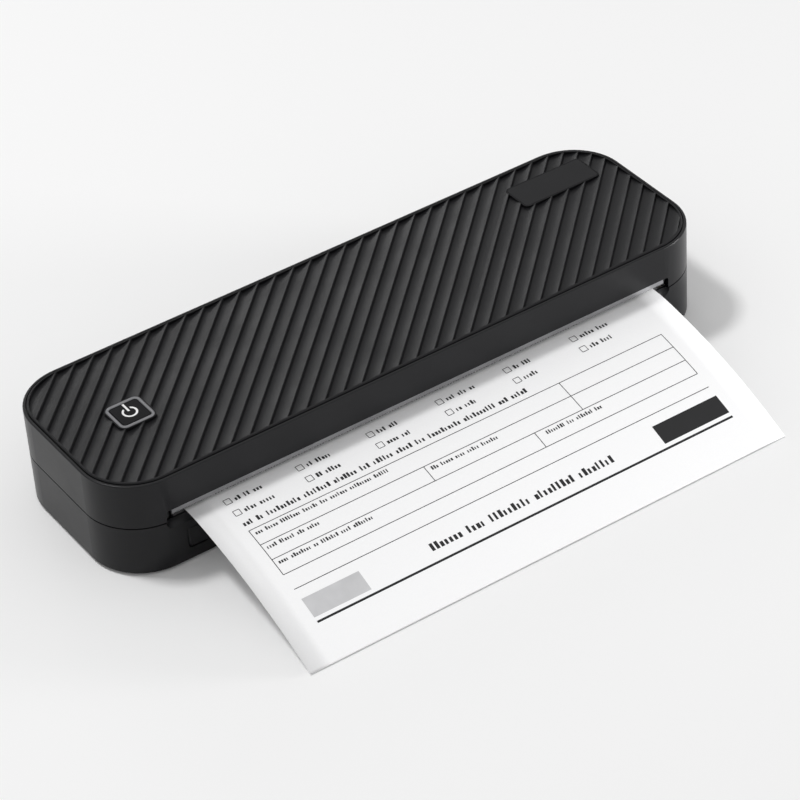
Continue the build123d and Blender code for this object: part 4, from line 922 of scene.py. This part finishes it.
@dataclass
class FormLayout:
    """A plain form: rules, boxes, check squares and groups of strokes in the place of words.

    All its sizes are in millimetres. A box is (left, right, near, far): left and right from
    the sheet's left edge, and near and far from its front edge.

    Attributes:
        margins: Left and right end of the form.
        stroke_step: Distance between two strokes, as a share of their height.
        stroke_widths: Least and greatest width of a stroke, as shares of its height.
        low_stroke: Height of a low stroke, as a share of a tall one's.
        title_rules: Place and width of the rules before and behind the title.
        row_lines: Where the rules between the rows of the table lie.
        columns: Its upright rules: share of its width, and the row lines they join.
        names: A small line in the upper left of each of its fields.
        square_rows: Lower edge of each row of squares.
        label: The line beside a square, from the square's corner, but with its right
            end from the next square.
        notes: The lines nearest to the slot.
    """

    margins: Span = (13.0, 197.0)
    rule: float = 0.3
    stroke_step: float = 0.62
    stroke_widths: Span = (0.24, 0.46)
    low_stroke: float = 0.68
    title_rules: tuple[Span, Span] = ((16.0, 0.9), (31.0, 0.3))
    block: Box = (167.0, 197.0, 18.0, 26.5)
    tab: Box = (13.0, 37.0, 18.0, 26.5)
    title: WordLine = WordLine(65.0, 151.0, 20.6, 3.2, 9)
    row_lines: tuple[float, ...] = (38.0, 45.5, 53.0, 60.5)
    columns: tuple[tuple[float, int, int], ...] = ((0.62, 0, 1), (0.38, 1, 2), (0.74, 1, 3))
    names: tuple[WordLine, ...] = (
        WordLine(14.5, 58.5, 42.6, 1.7, 9),
        WordLine(131.0, 161.0, 42.6, 1.7, 9),
        WordLine(14.5, 40.5, 50.1, 1.7, 9),
        WordLine(85.0, 115.0, 50.1, 1.7, 9),
        WordLine(14.5, 74.5, 57.6, 1.7, 9),
    )
    question: WordLine = WordLine(13.0, 145.0, 63.0, 2.3, 10)
    squares: int = 6
    square_rows: Span = (68.6, 75.0)
    square: float = 2.6
    square_rule: float = 0.28
    label: WordLine = WordLine(4.16, -13.0, 0.2, 2.1, 5)
    notes: tuple[WordLine, ...] = tuple(
        WordLine(13.0, 185.0 - 17.0 * row, 82.5 + 4.6 * row, 1.9, 10) for row in range(4)
    )
    marks: dict[Ink, list[Box]] = field(default_factory=lambda: {ink: [] for ink in Ink})

    def mark(self, box: Box, ink: Ink = Ink.BLACK) -> None:
        """Add one filled box."""
        self.marks[ink].append(box)

    def rule_across(self, near: float, left: float, right: float, weight: float) -> None:
        """A rule along X."""
        self.mark((left, right, near - weight / 2, near + weight / 2))

    def rule_along(self, at: float, near: float, far: float, weight: float) -> None:
        """A rule along the sheet."""
        self.mark((at - weight / 2, at + weight / 2, near, far))

    def frame(self, box: Box, weight: float) -> None:
        """Four rules round a box."""
        left, right, near, far = box
        for at in (near, far):
            self.rule_across(at, left, right, weight)
        for at in (left, right):
            self.rule_along(at, near, far, weight)

    def words(self, random: np.random.Generator, line: WordLine) -> None:
        """Fill a line with plain upright strokes."""
        step = self.stroke_step * line.height
        at = line.left
        while True:
            strokes = int(random.integers(2, line.longest + 1))
            if at + strokes * step > line.right:
                return
            for _ in range(strokes):
                tall = line.height * random.choice((self.low_stroke, self.low_stroke, 1.0))
                wide = line.height * random.uniform(*self.stroke_widths)
                self.mark((at, at + wide, line.near, line.near + tall))
                at += step
            at += step

    def compose(self) -> None:
        """Lay out the whole form from the sheet's front edge to the slot."""
        random = np.random.default_rng(41)
        left, right = self.margins
        (first_rule, first_weight), (last_rule, last_weight) = self.title_rules
        self.rule_across(first_rule, left, right, first_weight)
        self.mark(self.block)
        self.mark(self.tab, Ink.GREY)
        self.words(random, self.title)
        self.rule_across(last_rule, left, right, last_weight)
        self.table()
        for line in (*self.names, self.question):
            self.words(random, line)
        self.check_squares(random)
        for line in self.notes:
            self.words(random, line)

    def table(self) -> None:
        """Rows of fields with uneven columns."""
        left, right = self.margins
        lines = self.row_lines
        self.frame((left, right, lines[0], lines[-1]), self.rule)
        for line in lines[1:-1]:
            self.rule_across(line, left, right, self.rule)
        for share, low, high in self.columns:
            self.rule_along(left + share * (right - left), lines[low], lines[high], self.rule)

    def check_squares(self, random: np.random.Generator) -> None:
        """Rows of check squares, with a short line beside each."""
        left, right = self.margins
        pitch = (right - left) / self.squares
        for near in self.square_rows:
            for at in left + pitch * np.arange(self.squares):
                self.frame((at, at + self.square, near, near + self.square), self.square_rule)
                start, end = at + self.label.left, at + pitch + self.label.right
                place = {"left": start, "right": end, "near": near + self.label.near}
                self.words(random, replace(self.label, **place))


# --- Tear bar -------------------------------------------------------------------------


@dataclass
class TearStrip:
    """The folded steel strip over the slot, with its row of fine teeth.

    Its section is a sheet folded twice, carried along X. Only the lower front edge changes
    along the way: its height is a triangle wave of the teeth's pitch.

    Attributes:
        half: Half its length.
        sheet: Thickness of the steel.
        pitch: Distance between two teeth.
        tooth: Height of a tooth.
        drop: Height of the front leaf, from the teeth's tips to the fold.
        crease: Width of the bevel on the fold.
        edge_inset: How far the cutting edge lies behind the leaf's face, in sheets.
        shoulder: Height of the ground bevel over the edge, in teeth.
    """

    shelf: FinishShelf
    half: float = 109.9 * MM
    sheet: float = 0.8 * MM
    pitch: float = 0.62 * MM
    tooth: float = 0.55 * MM
    drop: float = 2.45 * MM
    crease: float = 0.2 * MM
    edge_inset: float = 0.25
    shoulder: float = 0.5

    def make(self) -> list[Object]:
        """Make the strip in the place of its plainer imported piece."""
        low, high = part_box("tear_bar")
        front, tip, back, leg_top = low.y, low.z, high.y, high.z
        step_top = tip + self.drop
        teeth = int(2 * self.half / self.pitch)
        x = np.linspace(-self.half, self.half, 2 * teeth + 1)
        edge = tip + self.tooth * (np.arange(x.size) % 2)
        shoulder = edge + self.shoulder * self.tooth
        corners = [
            (front + self.edge_inset * self.sheet, edge),
            (front, shoulder),
            (front, step_top - self.crease),
            (front + self.crease, step_top),
            (back - self.sheet, step_top),
            (back - self.sheet, leg_top),
            (back, leg_top),
            (back, step_top - self.sheet),
            (front + self.sheet, step_top - self.sheet),
            (front + self.sheet, shoulder),
        ]
        lines = [np.stack(np.broadcast_arrays(x, y, z), axis=-1) for y, z in corners]
        skin = carried_profile(np.stack(lines, axis=1))
        strip = self.shelf.closed_piece("tear_strip", skin, TEAR_STEEL, smooth=False)
        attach(strip, "lid")
        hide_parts("tear_bar")
        return [strip]


# --- Small parts on the boards --------------------------------------------------------


@dataclass(frozen=True)
class Chip:
    """A moulded chip with folded pins along its two long sides, in millimetres.

    Attributes:
        x: Middle in X.
        y: Middle in Y.
        long: Length along X.
        wide: Width of its body along Y.
        tall: Height.
        pins: Number of pins on each side.
        moulded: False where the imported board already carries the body.
    """

    x: float
    y: float
    long: float
    wide: float
    tall: float
    pins: int
    moulded: bool = True


MAIN_CHIPS = (
    Chip(-117.0, -15.0, 5.0, 4.0, 1.4, 4),
    Chip(-82.0, -17.5, 6.0, 5.0, 1.6, 5, moulded=False),
    Chip(-60.0, -12.5, 12.0, 12.0, 1.2, 15, moulded=False),
    Chip(-38.0, -12.5, 14.0, 12.0, 2.4, 11, moulded=False),
)
MAIN_RESISTORS = (
    *((-122.8, y) for y in (-12.0, -14.0, -16.0)),
    *((-72.0, y) for y in (-8.0, -11.0, -14.0, -17.0)),
    *((-49.5, y) for y in (-9.0, -12.0)),
)
USB_CHIPS = (Chip(124.2, 1.8, 3.4, 2.6, 1.1, 4),)
USB_RESISTORS = ((120.2, 2.6), (120.2, 0.6), (121.5, 17.6), (124.5, 17.6), (127.5, 17.6))
KEY_CHIPS = (Chip(-98.6, -3.4, 3.2, 2.2, 1.0, 3),)
KEY_RESISTORS = ((-100.5, 5.8), (-97.5, 5.8), (-106.8, 5.8), (-106.8, -5.8))


@dataclass
class BoardParts:
    """Chips on folded pins and two-ended chip resistors, on one face of a board.

    Attributes:
        board: Name of the board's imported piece.
        body: The body that the board rides on.
        face: Height of the face that they are soldered to.
        chips: The chips.
        resistors: Middles of the resistors in X and Y, in millimetres.
        hanging: True where the face looks down.
        body_share: Height of a resistor's body, as a share of its ends' height.
        bevel: Width of the bevel on each block's far edges.
    """

    shelf: FinishShelf
    board: str
    body: str
    face: float
    chips: tuple[Chip, ...]
    resistors: tuple[tuple[float, float], ...]
    hanging: bool = False
    pin_foot: float = 0.9 * MM
    pin_sheet: float = 0.14 * MM
    pin_width: float = 0.34 * MM
    resistor_long: float = 1.6 * MM
    resistor_wide: float = 0.8 * MM
    resistor_tall: float = 0.45 * MM
    resistor_end: float = 0.3 * MM
    body_share: float = 0.9
    bevel: float = 0.04 * MM

    def part(
        self, x: float, y: float, long: float, wide: float, tall: float, lift: float = 0.0
    ) -> Skin:
        """A block that stands on the face, or hangs from it.

        Args:
            x: Middle in X.
            y: Middle in Y.
            long: Length along X.
            wide: Width along Y.
            tall: Distance of its far side from the face.
            lift: Distance of its near side from the face.

        Returns:
            Its points and faces.
        """
        low, high = self.face + lift, self.face + tall
        if self.hanging:
            low, high = self.face - tall, self.face - lift
        half_x, half_y = long / 2, wide / 2
        return block((x - half_x, y - half_y, low), (x + half_x, y + half_y, high), self.bevel)

    def chip(self, chip: Chip) -> tuple[list[Skin], list[Skin]]:
        """The metal and the moulded blocks of one chip: each pin is a foot and a shoulder."""
        metal = []
        sizes = [value * MM for value in (chip.x, chip.y, chip.long, chip.wide, chip.tall)]
        _, middle_y, _, wide, tall = sizes
        foot, width, sheet = self.pin_foot, self.pin_width, self.pin_sheet
        for at in (np.arange(chip.pins) + 0.5) / chip.pins - 0.5:
            x = (chip.x + at * chip.long) * MM
            for side in (-1, 1):
                foot_y = middle_y + side * (wide / 2 + foot / 2)
                knee_y = middle_y + side * (wide / 2 + foot / 4)
                metal.append(self.part(x, foot_y, width, foot, sheet))
                metal.append(self.part(x, knee_y, width, foot / 2, tall / 2, sheet))
        return metal, [self.part(*sizes, sheet)] if chip.moulded else []

    def resistor(self, x: float, y: float) -> tuple[list[Skin], list[Skin]]:
        """The two tinned ends and the dark middle of one resistor."""
        x, y = x * MM, y * MM
        end, wide, tall = self.resistor_end, self.resistor_wide, self.resistor_tall
        out = (self.resistor_long - end) / 2
        ends = [self.part(x + side * out, y, end, wide, tall) for side in (-1, 1)]
        between = self.resistor_long - 2 * end
        return ends, [self.part(x, y, between, wide, self.body_share * tall)]

    def make(self) -> list[Object]:
        """Make two pieces: all the metal, and all the moulded bodies."""
        made = [self.chip(chip) for chip in self.chips]
        made += [self.resistor(x, y) for x, y in self.resistors]
        pieces = []
        for number, (kind, finish, slot) in enumerate(
            (("pins", PART_TIN, "pin_steel"), ("parts", PART_BLACK, "black_plastic"))
        ):
            skin = joined(item for pair in made for item in pair[number])
            piece = self.shelf.closed_piece(f"{self.board}_{kind}", skin, finish, smooth=False)
            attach(piece, self.body)
            pieces.append(piece)
        return pieces


# --- Springs and ribbon ---------------------------------------------------------------


@dataclass
class CoilRow:
    """Equal coils side by side along X, made as one piece.

    Attributes:
        radius: Radius of the wire's middle line.
        turns: Number of turns.
        travel: How much shorter the coils get; not used.
        wire: Diameter of the wire.
    """

    shelf: FinishShelf
    centres: tuple[float, ...]
    radius: float
    turns: float
    travel: float
    wire: float = 0.6 * MM

    def wound(self, name: str, y: float, z: float, along: Vector, length: float) -> Object:
        """The coils at rest.

        Args:
            name: The piece's name.
            y: Y of the point where each axis starts.
            z: Z of that point.
            along: Direction of the axes.
            length: Length of each coil.

        Returns:
            The piece.
        """
        sizes = (length, self.radius, self.turns, self.wire)
        coils = (coil_points(Vector((x, y, z)), along, *sizes) for x in self.centres)
        return self.shelf.closed_piece(name, joined(map(carried_profile, coils)), PIN_STEEL)


@dataclass
class HeadSprings(CoilRow):
    """Four coils that press the print head on the platen."""

    centres: tuple[float, ...] = (-92.0 * MM, -42.0 * MM, 42.0 * MM, 92.0 * MM)
    radius: float = 2.6 * MM
    turns: float = 5.5
    travel: float = 0.6 * MM
    bracket_sheet: float = 1.2 * MM

    def make(self) -> list[Object]:
        """Make the coils as one piece."""
        low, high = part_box("head_springs")
        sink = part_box("heat_sink")[1].z
        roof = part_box("head_bracket")[1].z - self.bracket_sheet
        middle_y = (low.y + high.y) / 2
        length = roof - sink
        coils = self.wound("head_coils", middle_y, sink, Vector((0, 0, 1)), length)
        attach(coils, "lid")
        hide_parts("head_springs")
        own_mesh(coils)
        return [coils]


@dataclass
class LatchSprings(CoilRow):
    """Two coils that push the latch bar forwards."""

    centres: tuple[float, ...] = (-60.0 * MM, 60.0 * MM)
    radius: float = 1.5 * MM
    turns: float = 4.5
    travel: float = 1.6 * MM

    def make(self) -> list[Object]:
        """Make the coils as one piece."""
        low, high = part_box("latch_springs")
        middle_z = (low.z + high.z) / 2
        length = high.y - low.y
        coils = self.wound("latch_coils", low.y, middle_z, Vector((0, 1, 0)), length)
        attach(coils, "base")
        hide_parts("latch_springs")
        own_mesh(coils)
        return [coils]


@dataclass
class HeadRibbon:
    """The flat ribbon from the main board to the head.

    Its line goes back along the board, up in a bend, along the roof and forwards. Each
    bend is a quarter circle; between them the line is straight. Points are spaced evenly
    along the whole line.

    Attributes:
        spacing: Distance between two points of the even line.
        plug_inset: How far the ribbon starts inside the board's rear edge.
    """

    shelf: FinishShelf
    thickness: float = 0.3 * MM
    bend: float = 4.0 * MM
    bend_points: int = 12
    spacing: float = 0.5 * MM
    plug_inset: float = 1.5 * MM

    def line(
        self, front_y: float, end_y: float, rear_y: float, low_z: float, high_z: float
    ) -> np.ndarray:
        """Evenly spaced points of the middle line.

        Args:
            front_y: Where the ribbon leaves the board's socket.
            end_y: Where it enters the roof's socket.
            rear_y: How far back its upright stretch stands.
            low_z: Height of its lower stretch.
            high_z: Height of its upper stretch.

        Returns:
            Y and Z as (n, 2).
        """
        turn = np.linspace(0.0, math.pi / 2, self.bend_points)
        sine, cosine = self.bend * np.sin(turn), self.bend * np.cos(turn)
        inner_y = rear_y - self.bend
        low_bend = np.stack([inner_y + sine, low_z + self.bend - cosine], -1)
        high_bend = np.stack([inner_y + cosine, high_z - self.bend + sine], -1)
        corners = np.concatenate([[[front_y, low_z]], low_bend, high_bend, [[end_y, high_z]]])
        steps = np.linalg.norm(np.diff(corners, axis=0), axis=1)
        along = np.concatenate([[0.0], np.cumsum(steps)])
        even = np.linspace(0.0, along[-1], int(along[-1] / self.spacing))
        return np.stack([np.interp(even, along, values) for values in corners.T], -1)

    def make(self) -> list[Object]:
        """Make the ribbon between base and lid."""
        low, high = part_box("head_cable")
        half = self.thickness / 2
        front_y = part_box("main_board")[1].y - self.plug_inset
        line = self.line(front_y, low.y, high.y - half, low.z + half, high.z - half)
        ahead = np.gradient(line, axis=0)
        ahead /= np.linalg.norm(ahead, axis=1)[:, None]
        normal = np.stack([-ahead[:, 1], ahead[:, 0]], -1)
        sides = [(low.x, half), (high.x, half), (high.x, -half), (low.x, -half)]
        stations = np.empty((len(line), len(sides), 3))
        for number, (x, off) in enumerate(sides):
            stations[:, number, 0] = x
            stations[:, number, 1:] = line + off * normal
        skin = carried_profile(stations)
        ribbon = self.shelf.closed_piece("head_ribbon", skin, RIBBON_WHITE, smooth=False)
        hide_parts("head_cable")
        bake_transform(ribbon)
        return [ribbon]


# --- Light, floor and camera ----------------------------------------------------------


@dataclass(frozen=True)
class Lamp:
    """A rectangular lamp that faces a point, with its power in watts."""

    name: str
    place: Place
    aim: Place
    size: Span
    power: float

    def make(self) -> Object:
        """Make the lamp."""
        data = bpy.data.lights.new(self.name, "AREA")
        data.shape = "RECTANGLE"
        data.size, data.size_y = self.size
        data.energy = self.power
        lamp = bpy.data.objects.new(self.name, data)
        lamp.location = self.place
        aim = Vector(self.aim) - Vector(self.place)
        lamp.rotation_euler = aim.to_track_quat("-Z", "Y").to_euler()
        bpy.context.scene.collection.objects.link(lamp)
        return lamp


@dataclass
class Studio:
    """A pale floor, white surroundings, three lamps and the camera.

    Attributes:
        eye: Place of the camera.
        right: The view's right.
        up: The view's up.
        lens: Focal length in millimetres on a frame sensor wide.
        sensor: Width of that frame.
        floor_half: Half the floor's side.
        floor_tone: Colour of the floor.
        floor_glow: What the floor adds to its own colour where it is seen.
        world_strength: Strength of the surroundings as light.
        lamps: One over the left rear corner, a weak one behind, and a low one at the right.
    """

    eye: Place = (-0.5166, -0.8511, 0.7703)
    right: Place = (0.8231, -0.5649, -0.0575)
    up: Place = (0.3852, 0.4811, 0.7874)
    lens: float = 149.1
    sensor: float = 36.0
    floor_half: float = 3.0
    floor_tone: float = 0.92
    floor_glow: float = 0.02
    world_strength: float = 0.65
    lamps: tuple[Lamp, ...] = (
        Lamp("key_lamp", (-0.5, 0.46, 1.6), (0.0, -0.02, 0.0), (0.25, 0.25), 12.2),
        Lamp("rear_lamp", (0.25, 1.4, 0.5), (0.0, 0.0, 0.04), (0.5, 0.2), 1.3),
        Lamp("side_lamp", (0.9, -0.6, 0.09), (0.12, -0.04, 0.02), (0.3, 0.16), 8.8),
    )

    def make_camera(self) -> Object:
        """Place the camera and make it the scene's own."""
        lens = bpy.data.cameras.new("camera")
        lens.lens = self.lens
        lens.sensor_width = self.sensor
        lens.sensor_fit = "HORIZONTAL"
        lens.clip_start = 0.01
        lens.clip_end = 20.0
        camera = bpy.data.objects.new("camera", lens)
        right = Vector(self.right).normalized()
        up = Vector(self.up)
        up = (up - up.dot(right) * right).normalized()
        turn = Matrix((right, up, right.cross(up))).transposed().to_4x4()
        camera.matrix_world = Matrix.Translation(self.eye) @ turn
        bpy.context.scene.collection.objects.link(camera)
        bpy.context.scene.camera = camera
        return camera

    def strength(self, sheet: NodeSheet, light: float, shown: float) -> Socket:
        """A strength that tells rays that show a surface from rays that only light it.

        Args:
            sheet: The node tree.
            light: Strength for rays that only carry light.
            shown: Strength for rays from the camera, or off a glossy or clear surface.

        Returns:
            The strength's socket.
        """
        path = sheet.node("ShaderNodeLightPath", {}).outputs
        seen = sheet.maths("MAXIMUM", path["Is Camera Ray"], path["Is Glossy Ray"])
        seen = sheet.maths("MAXIMUM", seen, path["Is Transmission Ray"])
        return sheet.ranged(seen, UNIT, (light, shown))

    def make_world(self) -> None:
        """Plain white surroundings: at full strength where seen, lower as light."""
        world = bpy.data.worlds.new("studio")
        sheet = NodeSheet(world)
        strength = self.strength(sheet, self.world_strength, 1.0)
        ground = sheet.node("ShaderNodeBackground", {"Strength": strength})
        sheet.node("ShaderNodeOutputWorld", {"Surface": ground.outputs[0]})
        bpy.context.scene.world = world

    def make_floor(self) -> Object:
        """A wide pale floor that keeps the object's shadow."""
        half, tone = self.floor_half, self.floor_tone
        corners = ((-half, -half, 0.0), (half, -half, 0.0), (half, half, 0.0), (-half, half, 0.0))
        floor = new_piece("floor", np.array(corners), [[0, 1, 2, 3]])
        material = bpy.data.materials.new("floor_white")
        sheet = NodeSheet(material)
        matt = sheet.node("ShaderNodeBsdfDiffuse", {"Color": (tone, tone, tone, 1.0)})
        strength = self.strength(sheet, 0.0, self.floor_glow)
        glow = sheet.node("ShaderNodeEmission", {"Strength": strength})
        both = sheet.node("ShaderNodeAddShader", {0: matt.outputs[0], 1: glow.outputs[0]})
        sheet.node("ShaderNodeOutputMaterial", {"Surface": both.outputs[0]})
        floor.data.materials.append(material)
        return floor

    def make(self) -> None:
        """Set up camera, world, floor and lamps."""
        self.make_camera()
        self.make_world()
        self.make_floor()
        for lamp in self.lamps:
            lamp.make()
        bpy.context.scene.view_settings.view_transform = "Standard"


# --- Putting it together ---------------------------------------------------------------


def main() -> None:
    """Load the frame, dress it, add the fine pieces, and set up light and camera."""
    logging.basicConfig(level=logging.INFO, format="%(name)s: %(message)s")
    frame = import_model()
    shelf = FinishShelf()
    shelf.dress_nodes(frame["nodes"])
    Studio().make()
    makers = (
        PrintedSheet(shelf),
        TearStrip(shelf),
        HeadSprings(shelf),
        LatchSprings(shelf),
        HeadRibbon(shelf),
        BoardParts(shelf, "main_board", "base", MAIN_MASK.board_top, MAIN_CHIPS, MAIN_RESISTORS),
        BoardParts(shelf, "usb_board", "base", USB_MASK.board_top, USB_CHIPS, USB_RESISTORS),
        BoardParts(shelf, "key_board", "lid", KEY_MASK.board_low, KEY_CHIPS, KEY_RESISTORS, True),
    )
    for maker in makers:
        for piece in maker.make():
            LOG.info("made %s with %d faces", piece.name, len(piece.data.polygons))


if __name__ == "__main__":
    main()
